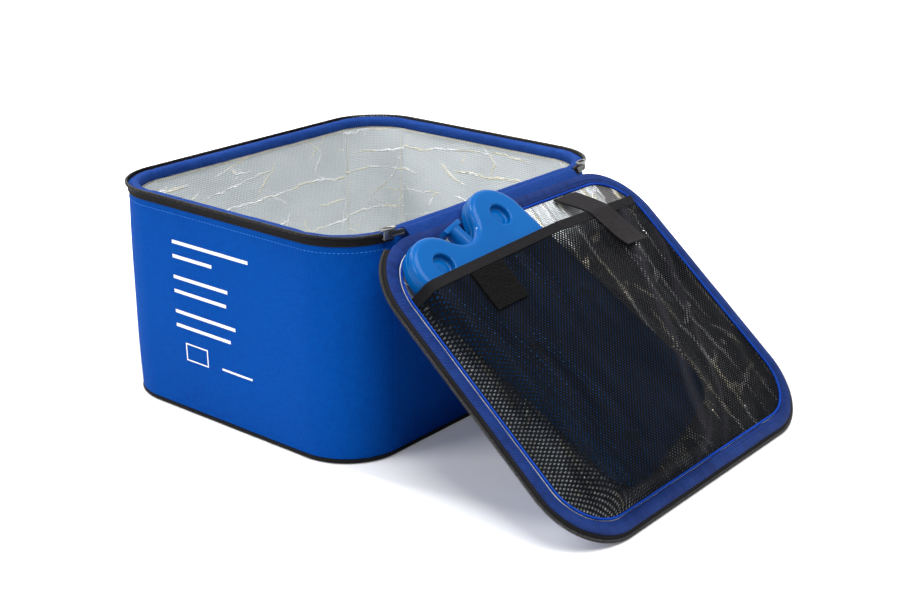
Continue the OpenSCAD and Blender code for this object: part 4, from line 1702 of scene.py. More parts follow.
    def build(self, kit: Wardrobe) -> None:
        """Make, dress and place the lid's pieces.

        Args:
            kit: The finishes.
        """
        for piece, material, slot, nodes in (
                (self.cover(), kit.outer, "outer_fabric", ["lid_cover"]),
                (self.lining(), kit.lid_foil, "foil", ["lid_lining"]),
                (self.binding(), kit.binding, "rim_fabric", ["lid_binding"]),
                (self.piping(), kit.piping, "outer_fabric", ["lid_inner_piping"]),
                (self.stitches(), kit.facing, "rim_fabric", [])):
            Bench.place(piece, LID.ring_matrix)
            hand_over(piece, material, Body.LID, nodes)
        tape = self.tape()
        Bench.place(tape, LID.ring_matrix)
        hand_over(tape, kit.black, Body.LID, ["lid_zip_tape"])
        first = 2 * LID_EDGE.corner_y + self.zip_late
        ZipMaker.build("lid_zip", LID_EDGE, Body.LID, kit, LID.ring_matrix, first, LID_EDGE.length - self.zip_late,
                       self.zip_out, self.zip_n, ["lid_zip_chain"])


@dataclass(frozen=True)
class HingeCloth:
    """One strip of blue cloth from the box's wall over the hinge to the lid's edge."""

    half: float = 98.5 * MM
    thick: float = 0.9 * MM
    steps: int = 56

    def build(self, kit: Wardrobe) -> None:
        """Make the strip, drawn bent over the hinge between the box and the lid.

        Args:
            kit: The finishes.
        """
        section = [(126.5, 161.5), (126.6, 164.5), (126.9, 167.0), (127.7, 168.6), (129.0, 169.3), (130.6, 169.2),
                   (132.2, 168.2), (134.0, 166.6), (135.6, 165.1), (137.4, 163.4)]
        strip = Bench.draw("hinge_cloth_strip", [(x * MM, -self.half, z * MM) for x, z in section])
        with Bench.editing(strip):
            Bench.whole("EDGE")
            for _ in range(self.steps):
                Bench.extrude((0, 2 * self.half / self.steps, 0))
        Bench.finish_with(strip, "SUBSURF", levels=1, render_levels=1)

        def crease(p: Vector) -> Vector:
            """Crumple the strip where it folds."""
            loose = math.exp(-((p.x - 131 * MM) / (4.5 * MM)) ** 2)
            return p + Vector((0.25 * MM * ripple(p, 0.009), 0, 0.45 * MM * ripple(p, 0.013, 3.0) - 0.1 * MM)) * loose

        Bench.move(strip, crease)
        thicken(strip, self.thick, lambda p: (p.y, p.x - p.z), 60)
        hand_over(strip, kit.facing, None, ["hinge_cloth_body", "hinge_cloth_lid"])
        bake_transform(strip)


@dataclass(frozen=True)
class CoolPack:
    """The blow-moulded cool pack with its two lobes, round hollows, neck and plug."""

    half_w: float = 67 * MM
    half_l: float = 109 * MM
    thick: float = 17 * MM
    foot_r: float = 24 * MM
    lobe_r: float = 26 * MM
    saddle_r: float = 21.02 * MM
    saddle_y: float = 106.02 * MM
    edge: float = 5.5 * MM
    lean: float = math.radians(14)
    centre: tuple[float, float, float] = (117 * MM, -49.09 * MM, 2.15 * MM)
    straight_u: float = 126 * MM
    dimple_r: float = 8.5 * MM
    dimple_depth: float = 5 * MM
    voxel: float = 1.05 * MM

    @property
    def lobe(self) -> tuple[float, float]:
        """The centre of the right lobe."""
        return self.half_w - self.lobe_r, self.half_l - self.lobe_r

    @property
    def dimples(self) -> list[tuple[float, float, float]]:
        """Centres and depths of the round hollows: three beside each edge and a shallow one between."""
        deep = [(sx * 41 * MM, sy * 85 * MM, self.dimple_depth) for sx in (-1, 1) for sy in (-1, 0, 1)]
        return [*deep, (0.0, -43 * MM, 1.2 * MM)]

    @property
    def matrix(self) -> Matrix:
        """Places the pack in the open lid."""
        turn = Matrix.Rotation(math.pi / 2 + self.lean, 4, "Z")
        return LID.matrix @ Matrix.Translation(self.centre) @ turn

    def outline(self, grow: float = 0.0) -> list[tuple[float, float]]:
        """The pack's outline, anticlockwise from its right foot.

        Args:
            grow: Distance out of the real outline.

        Returns:
            Its points.
        """
        lobe_x, lobe_y = self.lobe
        foot_x, foot_y = self.half_w - self.foot_r, -self.half_l + self.foot_r
        meet = math.atan2(self.saddle_y - lobe_y, -lobe_x)
        arcs = ((foot_x, foot_y, self.foot_r + grow, -math.pi / 2, 0.0, 12),
                (lobe_x, lobe_y, self.lobe_r + grow, 0.0, meet, 18),
                (0.0, self.saddle_y, self.saddle_r - grow, meet - math.pi, -meet, 14),
                (-lobe_x, lobe_y, self.lobe_r + grow, math.pi - meet, math.pi, 18),
                (-foot_x, foot_y, self.foot_r + grow, math.pi, 1.5 * math.pi, 12))
        points: list[tuple[float, float]] = []
        for x, y, radius, first, last, count in arcs:
            for i in range(count + 1):
                turn = first + (last - first) * i / count
                spot = (x + radius * math.cos(turn), y + radius * math.sin(turn))
                if not points or math.dist(points[-1], spot) > 0.3 * MM:
                    points.append(spot)
        return points

    def top_over(self, u: float, v: float, straight: bool) -> float:
        """Height of the pack's face over the lid at a place, or below zero beside it.

        Args:
            u: Distance down the lid.
            v: Distance along the hinge.
            straight: Whether the pack stands straight, as in the closed lid.

        Returns:
            The height.
        """
        turn = math.pi / 2 + (0 if straight else self.lean)
        du, dv = u - (self.straight_u if straight else self.centre[0]), v - self.centre[1]
        x = du * math.cos(turn) + dv * math.sin(turn)
        y = -du * math.sin(turn) + dv * math.cos(turn)
        radius = 25 * MM
        qx, qy = abs(x) - self.half_w + radius, abs(y) - self.half_l + radius
        inside = radius - math.hypot(max(qx, 0), max(qy, 0)) - min(max(qx, qy), 0) + 0.9 * MM
        if inside <= 0:
            return -1.0
        drop = self.edge - inside if inside < self.edge else 0.0
        return self.centre[2] + self.thick - (self.edge - math.sqrt(max(0.0, self.edge ** 2 - drop ** 2)))

    def dimple_tool(self) -> Piece:
        """Make the round stamps that press the hollows, each with a small step in its floor."""
        stamps = []
        for x, y, depth in self.dimples:
            stamp = Bench.add(bpy.ops.mesh.primitive_cylinder_add, "stamp", vertices=40, radius=self.dimple_r,
                              depth=depth + 3 * MM, location=(x, y, self.thick - depth / 2 + 1.5 * MM))
            with Bench.editing(stamp):
                Bench.pick(stamp, "FACE", lambda f: f.normal.z < -0.9)
                bpy.ops.mesh.inset(thickness=2.6 * MM)
                bpy.ops.mesh.inset(thickness=0.7 * MM, depth=-0.2 * depth)
            Bench.settle(stamp)
            stamps.append(stamp)
        return Bench.join("stamps", stamps)

    def lip_tool(self) -> Piece:
        """Make the raised rings round the hollows."""
        rings = []
        for x, y, _ in self.dimples:
            ring = Bench.add(bpy.ops.mesh.primitive_torus_add, "ring", major_segments=40, minor_segments=10,
                             major_radius=self.dimple_r + 0.7 * MM, minor_radius=0.9 * MM,
                             location=(x, y, self.thick - 0.4 * MM))
            Bench.settle(ring)
            rings.append(ring)
        return Bench.join("rings", rings)

    def channel_tool(self) -> Piece:
        """Make the long stamps that press two stepped channels and a shallow middle panel."""
        bars = []
        for x, y, width, long, depth in ((-50, -8, 5, 150, 1.3), (-36, 0, 3.5, 118, 0.9), (24, 8, 5, 104, 1.3),
                                         (0, 22, 30, 60, 0.7)):
            bar = Bench.block("bar", (width * MM, long * MM, 5 * MM),
                              (x * MM, y * MM, self.thick + (2.5 - depth) * MM))
            with Bench.editing(bar):
                Bench.pick(bar, "EDGE", lambda e: abs(e.verts[0].co.z - e.verts[1].co.z) > 1 * MM)
                bpy.ops.mesh.bevel(offset=width * 0.45 * MM, segments=6, affect="EDGES")
            Bench.settle(bar)
            bars.append(bar)
        return Bench.join("bars", bars)

    def shell(self) -> Piece:
        """Mould the body: outline, rounded edges, hollows, lips and channels."""
        body = Bench.draw("cool_pack_body", [(x, y, 0) for x, y in self.outline()], closed=True)
        with Bench.editing(body):
            Bench.whole()
            bpy.ops.mesh.edge_face_add()
            Bench.extrude((0, 0, self.thick))
            Bench.outwards()
            Bench.pick(body, "EDGE", lambda e: abs(e.verts[0].co.z - e.verts[1].co.z) < 1e-6)
            bpy.ops.mesh.bevel(offset=self.edge, segments=8, profile=0.55, affect="EDGES", clamp_overlap=False)
        Bench.cut(body, self.dimple_tool())
        Bench.cut(body, self.channel_tool())
        Bench.cut(body, self.lip_tool(), "UNION")
        Bench.finish_with(body, "REMESH", mode="VOXEL", voxel_size=self.voxel)
        Bench.finish_with(body, "SMOOTH", factor=0.5, iterations=5)
        return finished(75, body, lambda p: (p.x, p.y))

    def seam(self) -> Piece:
        """Draw the thin parting line left by the mould."""
        line = Bench.draw("cool_pack_parting_line", [(x, y, self.thick * 0.5) for x, y in self.outline(-0.1 * MM)],
                          closed=True)
        Bench.take(line)
        bpy.ops.object.convert(target="CURVE")
        line.data.bevel_depth = 0.42 * MM
        line.data.bevel_resolution = 2
        bpy.ops.object.convert(target="MESH")
        line = Bench.named("cool_pack_parting_line")
        lay_uv(line, lambda p: (p.x, p.y))
        Bench.close_up(line)
        Bench.smooth(line, 60)
        return line

    def ribs(self) -> Piece:
        """Raise the thin moulded ribs beside the channels and the three short ones above them."""
        bars = []
        for x, y, long, turn in ((-57.5, -6, 160, 0), (-45, -14, 120, 0), (-30, -22, 74, 0), (-25.5, -22, 74, 0),
                                 (18, 30, 62, 0), (29.5, 22, 62, 0), (-9, 58, 15, 28), (-1, 60, 17, 0),
                                 (7, 58, 15, -28)):
            bar = Bench.add(bpy.ops.mesh.primitive_uv_sphere_add, "rib", segments=16, ring_count=12,
                            radius=0.85 * MM, rotation=(math.pi / 2, 0, 0))
            Bench.settle(bar)
            half = long * MM / 2
            Bench.move(bar, lambda p: p + Vector((0, math.copysign(half, p.y) if abs(p.y) > 1e-5 else 0, 0)))
            Bench.place(bar, Matrix.Translation((x * MM, y * MM, self.thick - 0.4 * MM)) @
                        Matrix.Rotation(math.radians(turn), 4, "Z"))
            bars.append(bar)
        ribs = Bench.join("cool_pack_ribs", bars)
        return finished(60, ribs, lambda p: (p.x, p.y))

    def plug(self) -> Piece:
        """Make the filler neck in the saddle and its flat plug."""
        foot = self.half_l - 24 * MM
        neck = Bench.add(bpy.ops.mesh.primitive_cylinder_add, "neck", vertices=32, radius=6 * MM, depth=17 * MM,
                         location=(0, foot + 5.5 * MM, self.thick / 2), rotation=(math.pi / 2, 0, 0))
        with Bench.editing(neck):
            Bench.pick(neck, "FACE", lambda f: len(f.verts) > 4 and f.calc_center_median().z > 0)
            bpy.ops.mesh.inset(thickness=0.8 * MM, depth=0.5 * MM)
        Bench.settle(neck)
        plate = Bench.block("plate", (20 * MM, 4 * MM, 8 * MM), (0, foot + 15.9 * MM, self.thick / 2))
        with Bench.editing(plate):
            Bench.whole()
            bpy.ops.mesh.bevel(offset=0.9 * MM, segments=3, affect="EDGES")
            Bench.pick(plate, "FACE", lambda f: f.normal.y > 0.9)
            bpy.ops.mesh.inset(thickness=0.8 * MM, depth=-0.5 * MM)
        Bench.settle(plate)
        plug = Bench.join("cool_pack_plug", [neck, plate])
        return finished(35, plug, lambda p: (p.x, p.y))

    def build(self, kit: Wardrobe) -> None:
        """Make, dress and place the pack.

        Args:
            kit: The finishes.
        """
        for piece, nodes in ((self.shell(), ["pack_shell"]), (self.seam(), []), (self.ribs(), []),
                             (self.plug(), ["pack_plug"])):
            Bench.place(piece, self.matrix)
            hand_over(piece, kit.pack, Body.PACK, nodes)


PACK = CoolPack()


class PocketDrape:
    """Height of the pocket's mesh over the lid, drawn tight over the cool pack in both its places."""

    def __init__(self) -> None:
        """Relax the cloth as a stretched skin over the pack."""
        self.step = 1.5 * MM
        self.low = 0.75 * MM
        self.first = (19.5 * MM, -POCKET_HALF_MM * MM)
        self.reach = (241.15 * MM, POCKET_HALF_MM * MM)
        self.radius = 36.65 * MM
        self.us = np.arange(self.first[0], self.reach[0] + self.step, self.step)
        self.vs = np.arange(self.first[1], self.reach[1] + self.step, self.step)
        block = np.full((len(self.us), len(self.vs)), self.low)
        free = np.zeros(block.shape, bool)
        for i, u in enumerate(self.us):
            for j, v in enumerate(self.vs):
                face = max(PACK.top_over(u, v, False), PACK.top_over(u, v, True))
                block[i, j] = max(self.low, face + NET_GAP)
                free[i, j] = self.first[1] + 1e-4 < v < self.reach[1] - 1e-4 and self.mouth(v) < u < self.end(v)
        self.edge = self.tight_edge()
        for j, v in enumerate(self.vs):
            rows = self.us <= self.mouth(v)
            block[rows, j] = self.edge[j]
        self.block = block
        skin = block.copy()
        for _ in range(SKIN_ROUNDS):
            mean = 0.25 * (np.roll(skin, 1, 0) + np.roll(skin, -1, 0) + np.roll(skin, 1, 1) + np.roll(skin, -1, 1))
            skin = np.where(free, np.maximum(mean, block), block)
        self.skin = skin

    @staticmethod
    def mouth(v: float) -> float:
        """Distance down the lid to the pocket's mouth."""
        return (MOUTH_FRONT_MM - MOUTH_RISE_MM * (v / MM + POCKET_HALF_MM) / POCKET_WIDE_MM) * MM

    def end(self, v: float) -> float:
        """Distance down the lid to the pocket's far edge."""
        over = abs(v) - 99.5 * MM
        bend = self.radius - math.sqrt(max(0.0, self.radius ** 2 - max(0.0, over) ** 2))
        return self.reach[0] - bend

    def tight_edge(self) -> np.ndarray:
        """Draw the pocket's mouth tight from side to side over the pack."""
        heights = np.array([max(self.low, PACK.top_over(self.mouth(v) + 2 * MM, v, False) + NET_GAP,
                                PACK.top_over(self.mouth(v) + 2 * MM, v, True) + NET_GAP) for v in self.vs])
        heights[0] = heights[-1] = self.low
        rope = heights.copy()
        for _ in range(ROPE_ROUNDS):
            rope[1:-1] = np.maximum(0.5 * (rope[2:] + rope[:-2]), heights[1:-1])
        return rope

    def height(self, u: float, v: float) -> float:
        """Height of the mesh at a place, read between the worked-out points.

        Args:
            u: Distance down the lid.
            v: Distance along the hinge.

        Returns:
            The height over the lid.
        """
        i = min(max((u - self.us[0]) / self.step, 0), len(self.us) - 1.001)
        j = min(max((v - self.vs[0]) / self.step, 0), len(self.vs) - 1.001)
        a, b = int(i), int(j)
        s, t = i - a, j - b
        k = self.skin
        left, right = (k[a, c] * (1 - s) + k[a + 1, c] * s for c in (b, b + 1))
        return float(left * (1 - t) + right * t)

    def slack(self, u: float, v: float) -> float:
        """How loose the mesh is at a place, from 0 on the pack or an edge to 1.

        Args:
            u: Distance down the lid.
            v: Distance along the hinge.

        Returns:
            The looseness.
        """
        face = max(PACK.top_over(u, v, False), PACK.top_over(u, v, True))
        rise = 1.0 if face < 0 else min(1.0, max(0.0, (self.height(u, v) - face - 1 * MM) / (4 * MM)))
        side = min(self.end(v) - u, u - self.mouth(v), self.reach[1] - abs(v))
        return rise * min(1.0, max(0.0, side / (16 * MM)))


@dataclass(frozen=True)
class NetCloth:
    """Fine black net that lets the foil and the pack show through."""

    name: str = "black_net"
    pitch: float = 0.0023

    def build(self) -> Material:
        """Make the material."""
        g = Graph(self.name)
        cloth = g.cloth()
        u, v = g.split(cloth)
        step = 2 * math.pi / self.pitch
        rise = g.wave("COSINE", g.math("ADD", u, v), step * DIAGONAL)
        fall = g.wave("COSINE", g.math("SUBTRACT", u, v), step * DIAGONAL)
        streak = g.noise(g.stretch(cloth, (14, 60, 1)), 1.0, 3.0, 0.55)
        sway = g.times_plus(g.noise(cloth, 9.0, 2.0), 0.03, g.times_plus(u, 0.62, v))
        ridge = g.ramp(g.times(g.math("ABSOLUTE", g.math("SUBTRACT", sway, 0.158)), 100.0),
                       [(0.0, 1.0), (0.35, 0.6), (0.8, 0.0)])
        second = g.ramp(g.times(g.math("ABSOLUTE", g.math("SUBTRACT", sway, 0.196)), 100.0),
                        [(0.0, 0.6), (0.3, 0.3), (0.7, 0.0)])
        fold = g.math("MAXIMUM", ridge, second)
        beside = g.times_plus(u, -0.242, g.times_plus(v, 0.97, 0.0759))
        tight = g.ramp(g.times(g.math("ABSOLUTE", beside), 10.0), [(0.62, 1.0), (0.72, 0.0)])
        close = g.times_plus(fold, -0.06, g.times_plus(streak, 0.14, 0.45))
        close = g.times_plus(tight, -0.10, close)
        hole = g.times_plus(g.math("ADD", rise, fall), 0.25, close)
        alpha = g.ramp(hole, [(0.62, 0.98), (0.84, 0.05)])
        dark = g.mix(g.fade(streak, 0.35, 0.7), srgb(7, 9, 13), srgb(18, 19, 22))
        # Painted highlight: along the two fold bands the net is coloured lighter grey, as where it catches the light.
        shade = g.mix(fold, dark, srgb(34, 34, 39))
        g.material.surface_render_method = "DITHERED"
        return g.dress(colour=shade, rough=0.55, alpha=alpha, normal=g.bump(hole, 0.0001, 0.6), gloss=0.02)


@dataclass(frozen=True)
class HookTape:
    """Rough black hook tape, with rows of small hooks."""

    name: str = "black_hook_tape"

    def build(self) -> Material:
        """Make the material."""
        g = Graph(self.name)
        cloth = g.cloth()
        hook = g.cells(g.stretch(cloth, (620, 760, 1)), 1.0, "F1", 0.75)
        lint = g.noise(cloth, 320.0, 4.0, 0.7)
        tone = g.times_plus(hook, 0.8, g.times(lint, 0.5))
        colour = g.mix(g.fade(tone, 0.35, 0.95), srgb(17, 16, 16), srgb(4, 4, 5))
        return g.dress(colour=colour, rough=0.85, normal=g.bump(tone, 0.0011, 1.0), gloss=0.06)


class MeshPocket:
    """The net pocket inside the lid, its bound mouth and the patch of hook tape on it."""

    def __init__(self) -> None:
        """Work out the cloth's shape."""
        self.drape = PocketDrape()
        self.tucked = 1.0 * MM
        self.across = 0.0

    def net(self) -> Piece:
        """Lay the net over the pack and fold it softly beside it."""
        drape = self.drape
        sides = np.linspace(drape.first[1], drape.reach[1], NET_SAMPLES)
        tall = np.array([drape.height(0.125, v) for v in sides])
        walk = np.concatenate([[0], np.cumsum(np.hypot(np.diff(tall), POCKET_WIDE_MM * MM / (NET_SAMPLES - 1)))])
        self.across = float(walk[-1])
        net = Bench.grid("pocket_net", 120, 170)

        def lay(p: Vector) -> Vector:
            """Put one point of the flat net on the lid."""
            across = float(np.interp((p.y + 0.5) * walk[-1], walk, sides))
            start = drape.mouth(across) + 5.5 * MM
            u = start + (p.x + 0.5) * (drape.end(across) + self.tucked - start)
            across *= 1 + self.tucked / drape.reach[1]
            loose = drape.slack(u, across)
            fold = ripple(Vector((u * 0.28, across + 0.35 * u, 0)), 0.017, 1.0)
            fold += 0.5 * ripple(Vector((u * 0.5, across - 0.2 * u, 0)), 0.009, 2.0)
            for middle, tall in ((143, 2.6), (181, 1.8)):
                away = (across / MM + 0.62 * u / MM - middle + 6 * ripple(Vector((u, 0, 0)), 0.05)) / 5
                fold += tall * math.exp(-away * away)
            n = drape.height(u, across) + loose * 1.3 * MM * (fold + 0.25)
            return LID.point(u, across, max(n, drape.low))

        Bench.move(net, lay)
        lay_uv(net, LID.flat_uv)
        with Bench.editing(net):
            Bench.outwards()
        Bench.smooth(net, 80)
        return net

    def strip(self, name: str, start: float, width: float, thick: float, lift: float, rows: int,
              first: float = 0.0, last: float = 1.0, long: int = 150) -> Piece:
        """Lay a strip along the pocket's mouth.

        Args:
            name: Name of the new object.
            start: Distance of its near edge from the mouth.
            width: Its width.
            thick: Its thickness.
            lift: Height of its middle over the net.
            rows: Faces across it.
            first: Where it starts along the mouth, from 0 to 1.
            last: Where it ends.
            long: Faces along it.

        Returns:
            The strip.
        """
        drape = self.drape
        strip = Bench.grid(name, rows, long)
        near, wide = drape.first[1], drape.reach[1] - drape.first[1]
        line = [near + wide * (first + (last - first) * i / TAPE_SAMPLES) for i in range(TAPE_SAMPLES + 1)]
        rise = [drape.height(drape.mouth(v) + start + width / 2, v) for v in line]
        walk = np.concatenate([[0], np.cumsum(np.hypot(np.diff(rise), np.diff(line)))])

        def lay(p: Vector) -> Vector:
            """Put one point of the flat strip on the net."""
            v = float(np.interp((p.y + 0.5) * walk[-1], walk, line))
            u = drape.mouth(v) + start + (p.x + 0.5) * width
            return LID.point(u, v, drape.height(u, v) + lift)

        Bench.move(strip, lay)
        return thicken(strip, thick, LID.turned_uv)

    def build(self, kit: Wardrobe) -> None:
        """Args:
            kit: The finishes.
        """
        net = self.net()
        hand_over(net, NetCloth().build(), Body.LID, ["pocket_mesh"])
        mouth = self.strip("pocket_mouth_tape", 0.2 * MM, 7.4 * MM, 1.1 * MM, 0.2 * MM, 6)
        hand_over(mouth, kit.black, Body.LID, ["pocket_mouth_binding"])
        patch = self.strip("pocket_hook_patch_tape", 8.4 * MM, 31 * MM, 1.3 * MM, 1.1 * MM, 34,
                           first=0.1455, last=0.272, long=40)

        def fray(p: Vector) -> Vector:
            """Roughen the hooks."""
            return p + LID.matrix.to_3x3() @ Vector((0.2 * ripple(p, 0.003), 0.2 * ripple(p, 0.003, 2.0),
                                                     0.5 * ripple(p, 0.0022, 5.0))) * MM

        Bench.move(patch, fray)
        hand_over(patch, HookTape().build(), Body.LID, ["pocket_hook_patch"])


class ClosureStrap:
    """The loose webbing strap over the pocket's mouth, with the pad under its end."""

    def __init__(self, drape: PocketDrape) -> None:
        """Keep the shape of the net that it lies on.

        Args:
            drape: The net's shape.
        """
        self.drape = drape
        self.width = 28 * MM
        self.thick = 1.35 * MM
        self.way = [(21.8, 65.65), (27, 67.5), (33, 70.0), (39, 72.8), (44, 75.2), (52, 79.0), (62, 83.8),
                    (72, 88.7), (80, 92.65)]

    def height(self, u: float, v: float, share: float) -> float:
        """Height of the strap's underside: from its root up over the mouth, then loose on the net.

        Args:
            u: Distance down the lid.
            v: Distance along the hinge.
            share: How far along the strap it is, from 0 to 1.

        Returns:
            The height over the lid.
        """
        mouth = self.drape.mouth(v) + 3 * MM
        floor = self.drape.height(max(u, mouth), v) + 1.9 * MM
        if u < mouth:
            start, low = 22 * MM, 1.5 * MM
            reach = (u - start) / (mouth - start)
            floor = low + (floor - low) * max(0.0, reach) + 0.5 * MM * math.sin(math.pi * max(0.0, reach))
        return floor + 1.6 * MM * max(0.0, share - 0.8) ** 2 * 25

    def web(self, name: str, first: float, last: float, width: float, drop: float, thick: float) -> Piece:
        """Lay a length of webbing along the strap's way.

        Args:
            name: Name of the new object.
            first: Where it starts, from 0 to 1 along the way.
            last: Where it ends.
            width: Its width.
            drop: Depth of its middle under the strap's.
            thick: Its thickness.

        Returns:
            The webbing.
        """
        web = Bench.grid(name, 12, 60)
        spots = np.linspace(0, 1, len(self.way))
        us, vs = [a * MM for a, _ in self.way], [b * MM for _, b in self.way]

        def lay(p: Vector) -> Vector:
            """Put one point of the flat webbing on its way."""
            share = first + (last - first) * (p.y + 0.5)
            u = float(np.interp(share, spots, us)) + (0.8 * MM * p.x if share > 0.97 else 0)
            v = float(np.interp(share, spots, vs)) + p.x * width
            cup = 0.25 * MM * math.cos(math.pi * p.x)
            middle = float(np.interp(share, spots, vs))
            level = 0.5 * (self.height(u, v, share) + self.height(u, middle, share))
            return LID.point(u, v, level + self.thick / 2 - drop + cup)

        Bench.move(web, lay)
        return thicken(web, thick, LID.turned_uv)

    def build(self, kit: Wardrobe) -> None:
        """Make and dress the strap.

        Args:
            kit: The finishes.
        """
        strap = self.web("closure_strap_web", 0.0, 1.0, self.width, 0.0, self.thick)
        hand_over(strap, kit.webbing, Body.STRAP, ["strap_webbing"])
        pad = self.web("closure_strap_pad", 0.5, 0.95, self.width - 5 * MM, 1.15 * MM, 0.9 * MM)
        hand_over(pad, HookTape("black_loop_tape").build(), Body.STRAP, ["strap_pad"])


@dataclass(frozen=True)
class CarryHandle:
    """The webbing handle on the outside of the lid, sewn down at both ends."""

    width: float = 25 * MM
    thick: float = 2.1 * MM
    under: float = 7.7 * MM
    patch_y: float = 83 * MM
    pitch: float = 2.6 * MM

    def arch(self) -> Piece:
        """Bend the webbing from sewn end to sewn end."""
        half = [(92, 1.2), (80, 1.2), (70.5, 1.4), (66, 4.0), (61.5, 9.5), (56.5, 16.5), (51.5, 23.0), (46, 28.2),
                (39, 31.0), (28, 32.1), (12, 32.3)]
        line = [(-a, b) for a, b in half] + [(a, b) for a, b in reversed(half)]
        arch = Bench.draw("carry_handle_web", [(-self.width / 2, a * MM, -self.under - b * MM) for a, b in line])
        with Bench.editing(arch):
            Bench.whole("EDGE")
            for _ in range(8):
                Bench.extrude((self.width / 8, 0, 0))
        Bench.finish_with(arch, "SUBSURF", levels=2, render_levels=2)
        return thicken(arch, self.thick, lambda p: (p.x, p.y * 1.15))

    def sewn_patch(self, side: Side) -> Piece:
        """Make the square patch over one sewn end, with its box of stitches.

        Args:
            side: The end that it covers.

        Returns:
            The patch, before it is turned with the lid.
        """
        patch = Bench.grid(f"handle_patch_{side.name.lower()}_cloth", 10, 8)
        with Bench.editing(patch):
            Bench.whole()
            bpy.ops.transform.resize(value=(31 * MM, 17.5 * MM, 1))
            Bench.extrude((0, 0, 0.9 * MM))
            Bench.outwards()
        threads = []
        for long, place, turn in ((26, (0, 6.6), 0), (26, (0, -6.6), 0), (13.2, (13, 0), 90), (13.2, (-13, 0), 90),
                                  (29, (0, 0), 27), (29, (0, 0), -27)):
            thread = Bench.stitch("thread", 0.28, 2.0)
            count = int(long / 2.6)
            Bench.row(thread, (self.pitch, 0, 0), count)
            back = Matrix.Translation((-(count - 1) * 1.3 * MM, 0, -0.05 * MM))
            Bench.place(thread, Matrix.Translation((place[0] * MM, place[1] * MM, 0)) @
                        Matrix.Rotation(math.radians(turn), 4, "Z") @ back)
            threads.append(thread)
        patch = Bench.join(patch.name, [patch, *threads])
        lay_uv(patch, lambda p: (p.x, p.y))
        Bench.place(patch, Matrix.Translation((LID.middle, side.value * self.patch_y, -self.under - 3.3 * MM)))
        Bench.smooth(patch, 40)
        return patch

    def build(self, kit: Wardrobe) -> None:
        """Make, dress and place the handle.

        Args:
            kit: The finishes.
        """
        arch = self.arch()
        Bench.place(arch, LID.matrix @ Matrix.Translation((LID.middle, 0, 0)))
        hand_over(arch, kit.webbing, Body.LID, ["carry_handle"])
        for side in Side:
            patch = self.sewn_patch(side)
            Bench.place(patch, LID.matrix)
            hand_over(patch, kit.webbing, Body.LID, [f"handle_patch_{side.name.lower()}"])


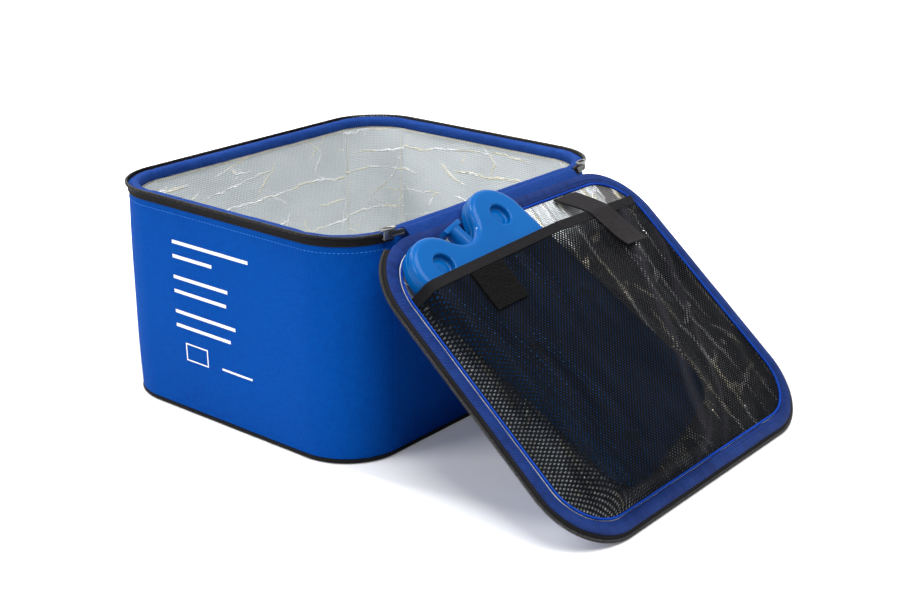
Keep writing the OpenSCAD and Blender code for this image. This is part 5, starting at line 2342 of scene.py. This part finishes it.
@dataclass(frozen=True)
class ZipSlider:
    """One parked slider with its pull tab."""

    side: Side
    park: float = math.radians(9.5)

    def body(self) -> Piece:
        """Shape the slider: a back plate, a base below and an almond crown with a groove on top."""
        parts = []
        for size, place in (((1.1, 9.4, 6.4), (49.5, 0, 168.0)), ((3.4, 9.0, 1.0), (48.2, 0, 164.95))):
            part = Bench.block("plate", tuple(c * MM for c in size), tuple(c * MM for c in place))
            with Bench.editing(part):
                Bench.whole()
                bpy.ops.mesh.bevel(offset=0.35 * MM, segments=3, affect="EDGES")
            Bench.settle(part)
            parts.append(part)
        crown = Bench.add(bpy.ops.mesh.primitive_cylinder_add, "crown", vertices=40, radius=1 * MM, depth=1.7 * MM,
                          location=(48.3 * MM, 0, 171.65 * MM))

        def almond(p: Vector) -> Vector:
            """Draw the round crown out to an almond."""
            return Vector((p.x * 2.75 * (1 - 0.12 * (p.y / MM) ** 2), p.y * 6.9, p.z))

        Bench.move(crown, almond)
        with Bench.editing(crown):
            Bench.pick(crown, "FACE", lambda f: f.normal.z > 0.9)
            bpy.ops.mesh.inset(thickness=1.0 * MM)
            bpy.ops.mesh.inset(thickness=0.35 * MM, depth=-0.45 * MM)
            Bench.pick(crown, "EDGE", lambda e: abs(e.verts[0].co.z - e.verts[1].co.z) < 1e-6
                       and abs(abs(e.verts[0].co.z) - 0.85 * MM) < 1e-6
                       and (e.verts[0].co.x / 2.6) ** 2 + (e.verts[0].co.y / 6.6) ** 2 > 0.97 * MM ** 2)
            bpy.ops.mesh.bevel(offset=0.45 * MM, segments=4, affect="EDGES")
        Bench.settle(crown)
        parts.append(crown)
        return Bench.join(f"slider_{self.side.name.lower()}_body", parts)

    def tab(self) -> Piece:
        """Shape the pull tab with its eye, lying back towards the hinge."""
        tab = Bench.block(f"pull_{self.side.name.lower()}_tab", (1.0 * MM, 12.6 * MM, 4.0 * MM),
                          (51.35 * MM, -5.8 * MM, 168.45 * MM))
        with Bench.editing(tab):
            Bench.pick(tab, "EDGE", lambda e: abs(e.verts[0].co.x - e.verts[1].co.x) > 0.5 * MM)
            bpy.ops.mesh.bevel(offset=1.8 * MM, segments=6, affect="EDGES")
            Bench.pick(tab, "FACE", lambda f: abs(f.normal.x) > 0.9)
            bpy.ops.mesh.inset(thickness=0.7 * MM)
            bpy.ops.mesh.inset(thickness=0.25 * MM, depth=-0.25 * MM)
        Bench.settle(tab)
        return tab

    def build(self, kit: Wardrobe) -> None:
        """Make, dress and place the slider and its tab.

        Args:
            kit: The finishes.
        """
        flip = Matrix.Scale(self.side.value, 4, (0, 1, 0))
        place = flip @ Matrix.Translation((BOX.corner_x, BOX.corner_y, 0)) @ Matrix.Rotation(self.park, 4, "Z")
        end = self.side.name.lower()
        for piece, body, metal, node in (
                (self.body(), Body["SLIDER_" + self.side.name], kit.metal, f"slider_{end}"),
                (self.tab(), Body["PULL_" + self.side.name], kit.dark_metal, f"pull_{end}")):
            Bench.place(piece, place)
            Bench.close_up(piece)
            lay_uv(piece, lambda p: (p.y, p.z))
            Bench.smooth(piece, 35)
            hand_over(piece, metal, body, [node])


def main() -> None:
    """Build the studio and every sub-assembly in order."""
    logging.basicConfig(level=logging.INFO, format="%(message)s", stream=sys.stdout)
    kit = Wardrobe()
    pocket = MeshPocket()
    parts = (SoftWalls(), FoilInside(), BoxZip(), HiddenLayers(), LidPanel(), HingeCloth(), PACK, pocket,
             ClosureStrap(pocket.drape), CarryHandle(), ZipSlider(Side.FRONT), ZipSlider(Side.BACK))
    for part in parts:
        part.build(kit)
        LOG.info("%s is done", type(part).__name__)
    StudioSet().build()


if __name__ == "__main__":
    main()
